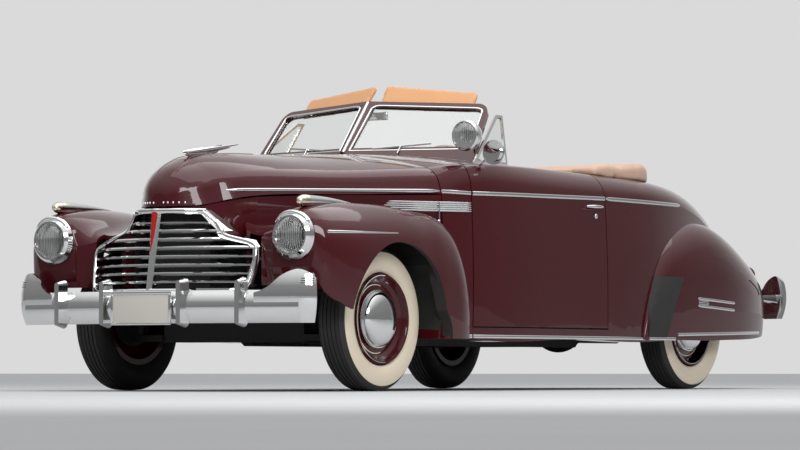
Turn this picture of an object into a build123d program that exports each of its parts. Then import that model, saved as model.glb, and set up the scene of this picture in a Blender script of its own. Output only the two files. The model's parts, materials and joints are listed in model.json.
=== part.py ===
# Vintage open two-door convertible car, an assembly of separate pieces
# Millimetres; +X forward, +Y to the car's left, +Z up; origin on the ground under the middle of the car
import math
import os

from build123d import *

os.makedirs("parts", exist_ok=True)

# Main dimensions
WHEELBASE = 3073.0
FRONT_AXLE_X = 1768.0
REAR_AXLE_X = FRONT_AXLE_X - WHEELBASE
FRONT_TRACK = 1500.0
REAR_TRACK = 1580.0
BUMPER_REACH = 2640.0

# Wheels and tyres
TYRE_R = 356.0
TYRE_W = 170.0
RIM_R = 224.0
HUBCAP_R = 138.0
SPINDLE_R = 20.0
REST_STEER = 5.5
KINGPIN_Y = 655.0
KINGPIN_R = 24.0

# Clearances
FIT = 0.3
PANEL_GAP = 7.0
LID_GAP = 6.0

# Walls
HOOD_WALL = 25.0
FENDER_WALL = 20.0

# Heights
DOOR_FOOT_Z = 328.0
FLOOR_Z = 400.0
FLOOR_T = 30.0
DECK_FLOOR_Z = 585.0

# Door, lid and hood limits along the car
DOOR_FRONT_X = 945.0
DOOR_REAR_X = -285.0
COWL_FRONT_X = 1140.0
SCUTTLE_REAR_X = 640.0
TRUNK_FRONT_X = -1350.0
TRUNK_REAR_X = -2390.0
TRUNK_HALF_W = 400.0
HOOD_REAR_X = COWL_FRONT_X + LID_GAP

# Frame rails
RAIL_Y = 400.0
RAIL_W = 70.0
RAIL_FRONT_X = 2420.0
FRONT_RAIL_Z = 340.0
MID_RAIL_Z = 230.0
REAR_RAIL_Z = 455.0
RAIL_H = FLOOR_Z - MID_RAIL_Z
FRONT_RAIL_H = 130.0
REAR_RAIL_H = DECK_FLOOR_Z - REAR_RAIL_Z

# Grille
GRILLE_X = 2544.0
GRILLE_REF_Z = 711.0
GRILLE_RAKE = -0.16
GRILLE_TOP_Z = 822.0
BAR_PITCH = 41.7
BAR_COUNT = 9
BAR_H = 20.0


def station(x):
    """Cross plane at x; its axes are world Y and Z."""
    return Plane(origin=(x, 0, 0), x_dir=(0, 1, 0), z_dir=(1, 0, 0))


def side_plane(y):
    """Upright plane along the car at y; its axes are world X and Z, facing -Y."""
    return Plane(origin=(0, y, 0), x_dir=(1, 0, 0), z_dir=(0, -1, 0))


def level(z):
    """Level plane at z."""
    return Plane(origin=(0, 0, z), x_dir=(1, 0, 0), z_dir=(0, 0, 1))


def slab(x0, x1, y0, y1, z0, z1):
    """Plain box between limits, to trim with."""
    with BuildPart() as box:
        with Locations(((x0 + x1) / 2, (y0 + y1) / 2, (z0 + z1) / 2)):
            Box(x1 - x0, y1 - y0, z1 - z0)
    return box.part


# Body cross sections: half widths and heights of foot, belt and shoulder, crown, swell of the roll, corner
BODY_ROWS = (
    # x, y_foot, y_belt, y_top, z_foot, z_belt, z_top, z_crown, roll, corner
    (1140, 778, 772, 735, 262, 1000, 1120, 1218, 2, 110),
    (945, 836, 828, 780, 262, 1008, 1158, 1230, 14, 60),
    (300, 900, 884, 806, 262, 1015, 1165, 1225, 22, 45),
    (-330, 915, 898, 800, 262, 1023, 1155, 1185, 25, 45),
    (-800, 908, 892, 790, 262, 1021, 1146, 1168, 27, 70),
    (-1300, 850, 842, 725, 300, 1000, 1112, 1150, 24, 120),
    (-1800, 750, 742, 604, 340, 860, 1000, 1050, 24, 150),
    (-2250, 610, 602, 462, 400, 680, 800, 842, 20, 110),
    (-2500, 500, 492, 382, 440, 510, 560, 590, 6, 45),
)
SIDE_SWELL = 9.0


def body_face(x, y_foot, y_belt, y_top, z_foot, z_belt, z_top, z_crown, roll, corner, grow, deep):
    """One closed cross section of the body, grown outwards by grow."""
    side_y = (y_foot + y_belt) / 2 + SIDE_SWELL
    side_z = (z_foot + z_belt) / 2
    chord = math.hypot(y_belt - y_top, z_top - z_belt)
    roll_y = (y_belt + y_top) / 2 + roll * (z_top - z_belt) / chord
    roll_z = (z_belt + z_top) / 2 + roll * (y_belt - y_top) / chord
    with BuildSketch(station(x)) as sketch:
        with BuildLine():
            for side in (1, -1):
                foot = (side * (y_foot + grow), z_foot)
                belt = (side * (y_belt + grow), z_belt)
                top = (side * (y_top + grow), z_top + grow)
                ThreePointArc(foot, (side * (side_y + grow), side_z), belt)
                ThreePointArc(belt, (side * (roll_y + grow), roll_z + grow), top)
                Polyline(foot, (side * (y_foot + grow), z_foot - deep), (0, z_foot - deep))
            ThreePointArc((y_top + grow, z_top + grow), (0, z_crown + grow), (-y_top - grow, z_top + grow))
        make_face()
        fillet(sketch.vertices().filter_by_position(Axis.Y, z_top - 1, z_top + 2), corner)
    return sketch.sketch


def body_faces(grow=0.0, deep=1.0):
    """All body sections, from the cowl to the tail, with the foot let down by deep."""
    return [body_face(*row, grow, deep) for row in BODY_ROWS]


# Inside of the cabin: place, half width low and high
CABIN_ROWS = (
    # x, y_low, y_high
    (1080, 690, 690),
    (700, 757, 700),
    (300, 785, 722),
    (-330, 800, 737),
    (-760, 795, 728),
)


def cabin_faces(z_low, z_high, shrink=0.0):
    """Cross sections of the cabin space between two heights."""
    faces = []
    for x, y_low, y_high in CABIN_ROWS:
        with BuildSketch(station(x)) as sketch:
            with BuildLine():
                Polyline(
                    (y_low - shrink, z_low),
                    (y_high - shrink, z_high),
                    (-y_high + shrink, z_high),
                    (-y_low + shrink, z_low),
                    close=True,
                )
            make_face()
        faces.append(sketch.sketch)
    return faces


# Body shell: outer skin less cabin, trunk and underside; split later into cowl, doors, sills and tail
CABIN_LOW_Z = 200.0
CABIN_TOP_Z = 1150.0
TRUNK_ROWS = (
    # x, half width, roof height
    (-820, 790, 1095),
    (-1300, 740, 1075),
    (-1800, 640, 962),
    (-2250, 500, 752),
    (-2400, 430, 640),
)

with BuildPart() as shell:
    loft(sections=body_faces())
    loft(sections=cabin_faces(CABIN_LOW_Z, CABIN_TOP_Z), mode=Mode.SUBTRACT)
    with BuildSketch(level(CABIN_TOP_Z - 5)):
        with BuildLine():
            Polyline(
                (SCUTTLE_REAR_X, -702),
                (SCUTTLE_REAR_X, 702),
                (300, 722),
                (-330, 737),
                (-660, 731),
                (-660, -731),
                (-330, -737),
                (300, -722),
                close=True,
            )
        make_face()
    extrude(amount=200, mode=Mode.SUBTRACT)
    trunk_faces = []
    for x, half, roof in TRUNK_ROWS:
        with BuildSketch(station(x), mode=Mode.PRIVATE) as cut:
            with Locations((0, (DECK_FLOOR_Z + FLOOR_T + roof) / 2)):
                Rectangle(2 * half, roof - DECK_FLOOR_Z - FLOOR_T)
        trunk_faces.append(cut.sketch)
    loft(sections=trunk_faces, mode=Mode.SUBTRACT)
    under_faces = []
    for x, half, roof in TRUNK_ROWS:
        with BuildSketch(station(x), mode=Mode.PRIVATE) as cut:
            with Locations((0, (DECK_FLOOR_Z + 200) / 2)):
                Rectangle(2 * half, DECK_FLOOR_Z - 200)
        under_faces.append(cut.sketch)
    loft(sections=under_faces, mode=Mode.SUBTRACT)
    for x in (1110, -790):
        with Locations((x, 0, 240)):
            Box(120, 1380, 480, mode=Mode.SUBTRACT)
    for side in (1, -1):
        with BuildSketch(side_plane(side * 690)):
            with Locations((REAR_AXLE_X, TYRE_R + 20)):
                Circle(TYRE_R + 60)
        extrude(amount=-side * 400, mode=Mode.SUBTRACT)


# Prisms that part the shell; each door reaches in only to the line of the cabin's edge
DOOR_LINE_Y = 708.0


def door_prism(side, gap):
    """Space a door takes up, grown all round by gap."""
    with BuildPart() as prism:
        with BuildSketch(level(DOOR_FOOT_Z - gap)):
            with BuildLine():
                Polyline(
                    (DOOR_FRONT_X + gap, side * 1100),
                    (DOOR_FRONT_X + gap, side * (DOOR_LINE_Y - 30 - gap)),
                    (CABIN_ROWS[1][0], side * (DOOR_LINE_Y - gap)),
                    (SCUTTLE_REAR_X - 60, side * (DOOR_LINE_Y - gap)),
                    (SCUTTLE_REAR_X - 60, side * 500),
                    (DOOR_REAR_X - gap, side * 500),
                    (DOOR_REAR_X - gap, side * 1100),
                    close=True,
                )
            make_face()
        extrude(amount=1100)
    return prism.part


# Doors
doors = {}
for name, side in (("left", 1), ("right", -1)):
    with BuildPart() as door:
        add(shell.part)
        add(door_prism(side, 0.0), mode=Mode.INTERSECT)
    door.part.label = "door_" + name
    export_step(door.part, "parts/door_%s.step" % name)
    doors[name] = door.part

# Sills under the doors
with BuildPart() as sills:
    add(shell.part)
    add(
        slab(DOOR_REAR_X - PANEL_GAP, DOOR_FRONT_X + PANEL_GAP, -1100, 1100, 0, DOOR_FOOT_Z - PANEL_GAP),
        mode=Mode.INTERSECT,
    )
sills.part.label = "sills"
export_step(sills.part, "parts/sills.step")

# Cowl with its scuttle
with BuildPart() as cowl:
    add(shell.part)
    add(slab(200, 1500, -1100, 1100, 0, 1500), mode=Mode.INTERSECT)
    add(slab(0, DOOR_FRONT_X + PANEL_GAP, -1100, 1100, 0, DOOR_FOOT_Z - PANEL_GAP), mode=Mode.SUBTRACT)
    add(door_prism(1, PANEL_GAP), mode=Mode.SUBTRACT)
    add(door_prism(-1, PANEL_GAP), mode=Mode.SUBTRACT)
cowl.part.label = "cowl"
export_step(cowl.part, "parts/cowl.step")

# Trunk lid, hinged along its front edge
with BuildPart() as trunk_lid:
    add(shell.part)
    add(
        slab(TRUNK_REAR_X, TRUNK_FRONT_X, -TRUNK_HALF_W, TRUNK_HALF_W, DECK_FLOOR_Z + FLOOR_T, 1500),
        mode=Mode.INTERSECT,
    )
trunk_lid.part.label = "trunk_lid"
export_step(trunk_lid.part, "parts/trunk_lid.step")

# Rear body: quarters, deck, bulkhead, trunk floor and tail
with BuildPart() as rear_body:
    add(shell.part)
    add(slab(-3000, DOOR_REAR_X - PANEL_GAP, -1100, 1100, 0, 1500), mode=Mode.INTERSECT)
    add(
        slab(
            TRUNK_REAR_X - LID_GAP,
            TRUNK_FRONT_X + LID_GAP,
            -TRUNK_HALF_W - LID_GAP,
            TRUNK_HALF_W + LID_GAP,
            DECK_FLOOR_Z + FLOOR_T,
            1500,
        ),
        mode=Mode.SUBTRACT,
    )
rear_body.part.label = "rear_body"
export_step(rear_body.part, "parts/rear_body.step")


# Floor pan: full width at cowl and tail, clear of the doors between
DOOR_ZONE = slab(DOOR_REAR_X - PANEL_GAP, DOOR_FRONT_X + PANEL_GAP, -1100, 1100, 0, 1500)

FLOOR_INSET = 12.0

with BuildPart() as floor_pan:
    loft(sections=cabin_faces(CABIN_LOW_Z, CABIN_TOP_Z))
    add(DOOR_ZONE, mode=Mode.SUBTRACT)
    loft(sections=cabin_faces(CABIN_LOW_Z, CABIN_TOP_Z, FLOOR_INSET))
    add(slab(-3000, 3000, -1100, 1100, FLOOR_Z, FLOOR_Z + FLOOR_T), mode=Mode.INTERSECT)
floor_pan.part.label = "floor_pan"
export_step(floor_pan.part, "parts/floor_pan.step")

# Hood: place, height of foot, half width and height of shoulder, height of crown, corner
HOOD_ROWS = (
    # x, half, z_foot, y_top, z_top, z_crown, corner
    (1146, 770, 1000, 735, 1120, 1218, 110),
    (1475, 638, 989, 598, 1098, 1204, 110),
    (1870, 478, 977, 438, 1082, 1190, 110),
    (2165, 350, 962, 314, 1064, 1175, 105),
    (2310, 248, 935, 220, 1036, 1146, 85),
    (2400, 184, 912, 168, 1000, 1110, 60),
    (2470, 114, 905, 104, 975, 1055, 34),
    (2506, 46, 903, 43, 936, 970, 11),
)


def hood_faces(rows, inset, drop):
    """Hood sections, drawn in by inset all round and let down at the foot by drop."""
    faces = []
    for x, half, z_foot, y_top, z_top, z_crown, corner in rows:
        with BuildSketch(station(x)) as sketch:
            with BuildLine():
                Line((-half + inset, z_foot - drop), (half - inset, z_foot - drop))
                Line((half - inset, z_foot - drop), (y_top - inset, z_top - inset))
                ThreePointArc(
                    (y_top - inset, z_top - inset), (0, z_crown - inset), (-y_top + inset, z_top - inset)
                )
                Line((-y_top + inset, z_top - inset), (-half + inset, z_foot - drop))
            make_face()
            fillet(sketch.vertices().filter_by_position(Axis.Y, z_top - inset - 1, z_top - inset + 1), corner)
        faces.append(sketch.sketch)
    return faces


NOSE_FIRST = 4
NOSE_HOLLOW_LAST = 6

with BuildPart() as hood:
    loft(sections=hood_faces(HOOD_ROWS[: NOSE_FIRST + 1], 0.0, 0.0))
    loft(sections=hood_faces(HOOD_ROWS[NOSE_FIRST:], 0.0, 0.0))
    loft(sections=hood_faces(HOOD_ROWS[: NOSE_FIRST + 1], HOOD_WALL, 30.0), mode=Mode.SUBTRACT)
    loft(sections=hood_faces(HOOD_ROWS[NOSE_FIRST:NOSE_HOLLOW_LAST], HOOD_WALL, 30.0), mode=Mode.SUBTRACT)
hood.part.label = "hood"
export_step(hood.part, "parts/hood.step")

# Nose: a raked round surface, wide below and drawn in to the hood above, with the grille let into it
NOSE_LEVELS = (
    # z, radius in plan
    (430, 700),
    (700, 700),
    (745, 520),
    (785, 308),
    (840, 258),
    (900, 220),
)
NOSE_CUT_X = 2285.0
GRILLE_OUTLINE = (
    # y, z of the left half, from the foot to the top
    (0, 478),
    (440, 478),
    (478, 520),
    (498, 640),
    (494, 705),
    (455, 735),
    (385, 752),
    (330, 768),
    (293, 795),
    (250, 840),
    (212, 886),
    (0, 892),
)
SURROUND_W = 22.0
SURROUND_OUT = 10.0
SURROUND_IN = 30.0
GRILLE_ROOM = 85.0
GRILLE_CLEAR = 5.0
GRILLE_BACK_X = 2283.0
GRILLE_NECK_Z = 812.0


def nose_x(z):
    """Foremost place of the nose surface at height z."""
    return GRILLE_X + GRILLE_RAKE * (z - GRILLE_REF_Z)


def nose_radius(z):
    """Plan radius of the nose surface at height z."""
    for (z0, r0), (z1, r1) in zip(NOSE_LEVELS, NOSE_LEVELS[1:]):
        if z0 <= z <= z1:
            return r0 + (r1 - r0) * (z - z0) / (z1 - z0)
    return NOSE_LEVELS[-1][1]


def nose_rounds(grow, levels):
    """Plan circles of the nose surface, grown by grow."""
    faces = []
    for z, radius in levels:
        with BuildSketch(level(z)) as sketch:
            with Locations((nose_x(z) - radius, 0)):
                Circle(radius + grow)
        faces.append(sketch.sketch)
    return faces


def nose_band(outer, inner, levels):
    """Front of the nose surface as a band between two offsets."""
    with BuildPart() as ring:
        loft(sections=nose_rounds(outer, levels), ruled=True)
        loft(sections=nose_rounds(inner, levels), ruled=True, mode=Mode.SUBTRACT)
        add(slab(0, NOSE_CUT_X, -1000, 1000, 0, 1500), mode=Mode.SUBTRACT)
    return ring.part


def front_prism(half, shrink):
    """Prism along the car with a mirrored front outline, drawn in by shrink."""
    with BuildPart() as prism:
        with BuildSketch(station(1900)) as sketch:
            with BuildLine():
                Polyline(list(half) + [(-y, z) for y, z in half[-2:0:-1]], close=True)
            make_face()
            if shrink:
                offset(amount=-shrink, kind=Kind.INTERSECTION, mode=Mode.REPLACE)
        extrude(amount=900)
    return prism.part


# Room the grille takes up in the panels round it
with BuildPart() as grille_room:
    add(nose_band(SURROUND_OUT + FIT, -GRILLE_ROOM, NOSE_LEVELS))
    add(front_prism(GRILLE_OUTLINE, -FIT), mode=Mode.INTERSECT)

# Hood sides, fixed below the hood's foot line and carried round under its nose
HOOD_SIDE_T = 30.0
HOOD_SIDE_FEET = (480, 730, 735, 740, 755, 800, 850)


def hood_side_faces(grow, solid):
    """Sections of the left hood side, grown outwards by grow; solid ones reach in to the middle and down."""
    faces = []
    for (x, half, z_foot, y_top, z_top, z_crown, corner), low in zip(HOOD_ROWS, HOOD_SIDE_FEET):
        inner = 0.0 if solid else half - HOOD_SIDE_T
        foot = 0.0 if solid else low
        with BuildSketch(station(x)) as sketch:
            with BuildLine():
                Polyline(
                    (inner, foot),
                    (half + grow, foot),
                    (half + grow, z_foot - PANEL_GAP),
                    (inner, z_foot - PANEL_GAP),
                    close=True,
                )
            make_face()
        faces.append(sketch.sketch)
    return faces


with BuildPart() as hood_sides:
    loft(sections=hood_side_faces(0.0, False), ruled=True)
    mirror(about=Plane.XZ)
    add(grille_room.part, mode=Mode.SUBTRACT)
hood_sides.part.label = "hood_sides"
export_step(hood_sides.part, "parts/hood_sides.step")

# Front fenders: valley beside the hood, turn of the inner flank, crest, side and foot of each section
FRONT_FENDER_ROWS = (
    # x, y_valley, z_valley, y_turn, z_turn, y_crest, z_crest, y_side, z_side, y_foot, z_foot
    (2390, 600, 725, 645, 805, 730, 866, 848, 735, 825, 600),
    (2360, 550, 732, 615, 813, 736, 886, 892, 698, 874, 492),
    (2290, 380, 790, 592, 834, 742, 900, 920, 678, 907, 438),
    (2190, 318, 835, 575, 838, 750, 912, 940, 660, 928, 400),
    (2000, 408, 838, 600, 850, 765, 922, 955, 640, 945, 360),
    (1768, 500, 835, 650, 848, 790, 918, 965, 620, 958, 330),
    (1575, 580, 808, 700, 834, 815, 900, 968, 590, 962, 290),
    (1453, 630, 790, 735, 832, 828, 888, 967, 560, 962, 262),
    (1360, 668, 764, 752, 815, 838, 872, 965, 530, 961, 262),
    (1290, 696, 742, 768, 797, 845, 845, 962, 505, 959, 262),
    (1222, 722, 690, 790, 752, 852, 792, 957, 470, 954, 262),
    (1180, 740, 632, 800, 692, 856, 728, 950, 440, 947, 262),
    (1150, 752, 552, 806, 609, 860, 642, 942, 405, 939, 262),
    (1128, 762, 415, 812, 466, 864, 496, 932, 350, 929, 262),
    (1118, 768, 285, 812, 288, 868, 310, 918, 280, 916, 262),
)


def front_fender_faces(rows, inset, drop):
    """Left front fender sections, drawn in by inset and let down at the foot by drop."""
    faces = []
    for x, y_v, z_v, y_t, z_t, y_c, z_c, y_s, z_s, y_f, z_f in rows:
        with BuildSketch(station(x)) as sketch:
            with BuildLine():
                Line((y_v + inset, z_f - drop), (y_f - inset, z_f - drop))
                TangentArc((y_s - inset, z_s), (y_f - inset, z_f - drop), tangent=(0, -1))
                EllipticalCenterArc((y_c, z_s), y_s - inset - y_c, z_c - inset - z_s, 0, arc_size=90)
                flank = TangentArc((y_c, z_c - inset), (y_t, z_t - inset), tangent=(-1, 0))
                TangentArc(flank @ 1, (y_v + inset, z_v - inset), tangent=flank % 1)
                Line((y_v + inset, z_v - inset), (y_v + inset, z_f - drop))
            make_face()
        faces.append(sketch.sketch)
    return faces


HOLLOW_FIRST = 1
HOLLOW_LAST = 8
APRON_Z = 515.0
ARCH_X = FRONT_AXLE_X + 20.0
ARCH_Z = 334.0
ARCH_R = 398.0
FLARE_Z = 285.0
FLARE_HALF = 452.0
FLARE_H = 235.0
SWING_R = TYRE_R + 60.0
SWING_IN_Y = 480.0
SWING_OUT_Y = 900.0
BODY_DEEP = 180.0

with BuildPart() as body_solid:
    loft(sections=body_faces(FIT, BODY_DEEP))

with BuildPart() as front_fenders:
    loft(sections=front_fender_faces(FRONT_FENDER_ROWS, 0.0, 0.0))
    loft(
        sections=front_fender_faces(FRONT_FENDER_ROWS[HOLLOW_FIRST:HOLLOW_LAST], FENDER_WALL, 300.0),
        mode=Mode.SUBTRACT,
    )
    with BuildSketch(side_plane(SWING_OUT_Y)):
        with Locations((ARCH_X, ARCH_Z)):
            Circle(ARCH_R)
        with Locations((ARCH_X, FLARE_Z)):
            Ellipse(FLARE_HALF, FLARE_H)
    extrude(amount=-300, mode=Mode.SUBTRACT)
    with BuildSketch(side_plane(SWING_IN_Y)):
        with Locations((FRONT_AXLE_X, TYRE_R)):
            Circle(SWING_R)
    extrude(amount=SWING_IN_Y - SWING_OUT_Y, mode=Mode.SUBTRACT)
    add(slab(1300, 2400, 0, 700, 0, APRON_Z), mode=Mode.SUBTRACT)
    loft(sections=hood_side_faces(FIT, True), ruled=True, mode=Mode.SUBTRACT)
    add(body_solid.part, mode=Mode.SUBTRACT)
    add(slab(GRILLE_BACK_X, 2500, 0, GRILLE_OUTLINE[3][0] + GRILLE_CLEAR, 0, GRILLE_NECK_Z), mode=Mode.SUBTRACT)
    add(slab(FRONT_FENDER_ROWS[0][0], 2500, 0, 1100, 0, 1200), mode=Mode.SUBTRACT)
    mirror(about=Plane.XZ)
front_fenders.part.label = "front_fenders"
export_step(front_fenders.part, "parts/front_fenders.step")

# Rear fenders: inner edge inside the quarter, crest, side and foot of each section
REAR_FENDER_ROWS = (
    # x, y_in, z_in, y_crest, z_crest, y_side, z_side, y_foot, z_foot
    (-668, 850, 290, 890, 300, 925, 285, 923, 270),
    (-700, 850, 400, 890, 420, 937, 340, 934, 270),
    (-796, 840, 605, 880, 630, 952, 430, 947, 270),
    (-921, 830, 745, 870, 770, 962, 520, 957, 270),
    (-1075, 800, 835, 850, 858, 969, 580, 963, 270),
    (-1317, 740, 905, 815, 928, 972, 600, 965, 270),
    (-1560, 690, 895, 790, 918, 965, 600, 958, 275),
    (-1800, 660, 825, 760, 848, 945, 570, 938, 280),
    (-2024, 620, 730, 725, 755, 905, 530, 895, 290),
    (-2208, 590, 620, 690, 650, 845, 480, 832, 310),
    (-2300, 570, 490, 660, 520, 780, 440, 768, 350),
    (-2330, 560, 425, 640, 440, 730, 415, 725, 390),
)


def rear_fender_faces(rows, inset, drop):
    """Left rear fender sections, drawn in by inset and let down at the foot by drop."""
    faces = []
    for x, y_i, z_i, y_c, z_c, y_s, z_s, y_f, z_f in rows:
        with BuildSketch(station(x)) as sketch:
            with BuildLine():
                Line((y_i, z_f - drop), (y_f - inset, z_f - drop))
                TangentArc((y_s - inset, z_s), (y_f - inset, z_f - drop), tangent=(0, -1))
                EllipticalCenterArc((y_c, z_s), y_s - inset - y_c, z_c - inset - z_s, 0, arc_size=90)
                TangentArc((y_c, z_c - inset), (y_i, z_i - inset), tangent=(-1, 0))
                Line((y_i, z_i - inset), (y_i, z_f - drop))
            make_face()
        faces.append(sketch.sketch)
    return faces


SKIRT_FRONT_X = -958.0
SKIRT_TOP_Z = 728.0


def skirt_prism(shrink):
    """Space of the left rear wheel cover, drawn in by shrink."""
    corners = (
        # x, z, corner radius
        (SKIRT_FRONT_X - shrink, 0, 0),
        (SKIRT_FRONT_X - 30 - shrink, SKIRT_TOP_Z - shrink, 220),
        (-1480, SKIRT_TOP_Z + 14 - shrink, 400),
        (-2050 + shrink, 560 - shrink, 90),
        (-2085 + shrink, 0, 0),
    )
    with BuildPart() as prism:
        with BuildSketch(side_plane(780)) as outline:
            with BuildLine():
                Polyline([(x, z) for x, z, radius in corners], close=True)
            make_face()
            for x, z, radius in corners:
                if radius > 0:
                    fillet(outline.vertices().sort_by_distance((x, z, 0))[0], radius)
        extrude(amount=-400)
    return prism.part


with BuildPart() as rear_fender_shell:
    loft(sections=rear_fender_faces(REAR_FENDER_ROWS, 0.0, 0.0))
    loft(sections=rear_fender_faces(REAR_FENDER_ROWS[3:9], FENDER_WALL, 300.0), mode=Mode.SUBTRACT)
    add(body_solid.part, mode=Mode.SUBTRACT)

with BuildPart() as rear_fenders:
    add(rear_fender_shell.part)
    add(skirt_prism(0.0), mode=Mode.SUBTRACT)
    mirror(about=Plane.XZ)
rear_fenders.part.label = "rear_fenders"
export_step(rear_fenders.part, "parts/rear_fenders.step")

with BuildPart() as fender_skirts:
    add(rear_fender_shell.part)
    add(skirt_prism(FIT), mode=Mode.INTERSECT)
    mirror(about=Plane.XZ)
fender_skirts.part.label = "fender_skirts"
export_step(fender_skirts.part, "parts/fender_skirts.step")


with BuildPart() as fender_solid:
    loft(sections=front_fender_faces(FRONT_FENDER_ROWS, -FIT, 0.0))
    mirror(about=Plane.XZ)

# Grille: rounded bars inside a heavy surround, with a ridge down the middle
BAR_D = 30.0
BAR_OUT = 4.0
BAR_NOSE = 9.0
BAR_EDGE = 4.0
BAR_SWEEP = 80.0
BAR_BACK_X = 2304.0
RIDGE_ROWS = (
    # z, half width, front half width
    (494, 17, 4),
    (890, 29, 6),
)
RIDGE_OUT = 22.0
with BuildPart() as grille_bars:
    for i in range(BAR_COUNT):
        z = GRILLE_TOP_Z - i * BAR_PITCH
        radius = nose_radius(z)
        start = math.radians(-BAR_SWEEP)
        centre = (nose_x(z) - radius, 0, z)
        across = Plane(
            origin=centre,
            x_dir=(math.cos(start), math.sin(start), 0),
            z_dir=(math.sin(start), -math.cos(start), 0),
        )
        with BuildSketch(across):
            with BuildLine():
                face = radius + BAR_OUT
                Polyline(
                    (face - BAR_D, -BAR_H / 2),
                    (face - BAR_NOSE, -BAR_H / 2),
                    (face, -BAR_EDGE),
                    (face, BAR_EDGE),
                    (face - BAR_NOSE, BAR_H / 2),
                    (face - BAR_D, BAR_H / 2),
                    close=True,
                )
            make_face()
        revolve(axis=Axis(centre, (0, 0, 1)), revolution_arc=2 * BAR_SWEEP)
    add(front_prism(GRILLE_OUTLINE, SURROUND_W / 2), mode=Mode.INTERSECT)
    add(slab(0, BAR_BACK_X, -1000, 1000, 0, 1500), mode=Mode.SUBTRACT)

with BuildPart() as grille:
    add(nose_band(SURROUND_OUT, -SURROUND_IN, NOSE_LEVELS))
    add(front_prism(GRILLE_OUTLINE, 0.0), mode=Mode.INTERSECT)
    add(front_prism(GRILLE_OUTLINE, SURROUND_W), mode=Mode.SUBTRACT)
    add(grille_bars.part)
    ridge_faces = []
    for z, half, edge in RIDGE_ROWS:
        back = nose_x(z) - 24
        with BuildSketch(level(z), mode=Mode.PRIVATE) as sketch:
            with BuildLine():
                Polyline(
                    (back, -half),
                    (back + 28, -half),
                    (back + 24 + RIDGE_OUT, -edge),
                    (back + 24 + RIDGE_OUT, edge),
                    (back + 28, half),
                    (back, half),
                    close=True,
                )
            make_face()
        ridge_faces.append(sketch.sketch)
    loft(sections=ridge_faces, ruled=True)
grille.part.label = "grille"
export_step(grille.part, "parts/grille.step")

# Bumpers: a bar on a wide arc, guards, raised ends and irons to the frame
BUMPER_R = 2600.0
WING_SPAN = 6.5
WING_CURVE = 11.0
END_R = 130.0
END_TURN = 40.0
GUARD_W = 54.0
GUARD_H = 240.0
GUARD_OUT = 32.0
GUARD_TAPER = 14.0
IRON_Y = 435.0
BUMPERS = (
    # name, facing, half span, foot, top, wing top, iron foot, iron x, guards
    ("front_bumper", 1, 18.6, 330, 488, 588, 385, RAIL_FRONT_X, (-545, -232, 232, 545)),
    ("rear_bumper", -1, 17.6, 405, 545, 655, 378, 2260, (-330, 330)),
)
WING_REACH = (
    # share of the half width: foot of the rise, middle of the rise, crest, shoulder, outer end
    0.68,
    0.79,
    0.90,
    0.97,
    1.01,
)


def bar_plane(face, angle, centre):
    """Upright plane through a turning centre; its axes are the outward radius and world Z."""
    x = face * math.cos(math.radians(angle))
    y = math.sin(math.radians(angle))
    return Plane(origin=centre, x_dir=(x, y, 0), z_dir=(y, -x, 0))


def bumper_bar(face, start, sweep, centre, radius, foot, high):
    """One length of curved bumper bar about an upright axis."""
    turn = start if face > 0 else start + sweep
    mid = (foot + high) / 2
    with BuildPart() as bar:
        with BuildSketch(bar_plane(face, turn, centre)):
            with BuildLine():
                ThreePointArc((radius - 26, foot), (radius, mid), (radius - 26, high))
                Line((radius - 26, high), (radius - 44, high))
                ThreePointArc((radius - 44, high), (radius - 20, mid), (radius - 44, foot))
                Line((radius - 44, foot), (radius - 26, foot))
            make_face()
        revolve(axis=Axis(centre, (0, 0, 1)), revolution_arc=sweep)
    return bar.part


for name, face, span, foot, top, wing, iron_z, iron_x, guards in BUMPERS:
    hub = (face * (BUMPER_REACH - BUMPER_R), 0, 0)
    reach = BUMPER_R - END_R
    half = reach * math.sin(math.radians(span)) + END_R * math.sin(math.radians(span + END_TURN))
    rise, middle, crest, shoulder, end = (share * half for share in WING_REACH)
    half_way = (top + wing) / 2 - 6
    with BuildPart() as wings:
        for side in (1, -1):
            lean = math.radians(side * span)
            knee = (hub[0] + face * reach * math.cos(lean), reach * math.sin(lean), 0)
            start = span - WING_SPAN if side > 0 else -span
            add(bumper_bar(face, start, WING_SPAN, hub, BUMPER_R, foot, wing))
            start = span if side > 0 else -span - END_TURN
            add(bumper_bar(face, start, END_TURN, knee, END_R, foot, wing))
        with BuildSketch(station(0)):
            for side in (1, -1):
                with BuildLine():
                    ThreePointArc(
                        (side * rise, top - 12),
                        (side * (rise + middle) / 2, (top + half_way) / 2 - 6 - WING_CURVE),
                        (side * middle, half_way),
                    )
                    ThreePointArc(
                        (side * middle, half_way),
                        (side * (middle + crest) / 2, (half_way + wing) / 2 + WING_CURVE),
                        (side * crest, wing),
                    )
                    ThreePointArc((side * crest, wing), (side * shoulder, wing - 24), (side * end, wing - 90))
                    Polyline((side * end, wing - 90), (side * end, foot), (side * rise, foot), (side * rise, top - 12))
                make_face()
        extrude(amount=face * 2 * BUMPER_REACH, mode=Mode.INTERSECT)
    with BuildPart() as bumper:
        add(bumper_bar(face, -span, 2 * span, hub, BUMPER_R, foot, top))
        add(wings.part)
        for y in guards:
            x = hub[0] + face * math.sqrt(BUMPER_R**2 - y**2)
            with BuildSketch(Plane(origin=(x - face * 24, y, 0), x_dir=(0, 1, 0), z_dir=(face, 0, 0))):
                with Locations((0, face * (foot + top) / 2 + face * 20)):
                    SlotOverall(GUARD_H, GUARD_W, rotation=90)
            extrude(amount=24 + GUARD_OUT, taper=GUARD_TAPER)
        for side in (1, -1):
            x0 = min(face * iron_x, face * (BUMPER_REACH - 55))
            x1 = max(face * iron_x, face * (BUMPER_REACH - 55))
            with Locations(((x0 + x1) / 2, side * IRON_Y, iron_z + 20)):
                Box(x1 - x0, 50, 40)
    bumper.part.label = name
    export_step(bumper.part, "parts/%s.step" % name)


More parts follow.
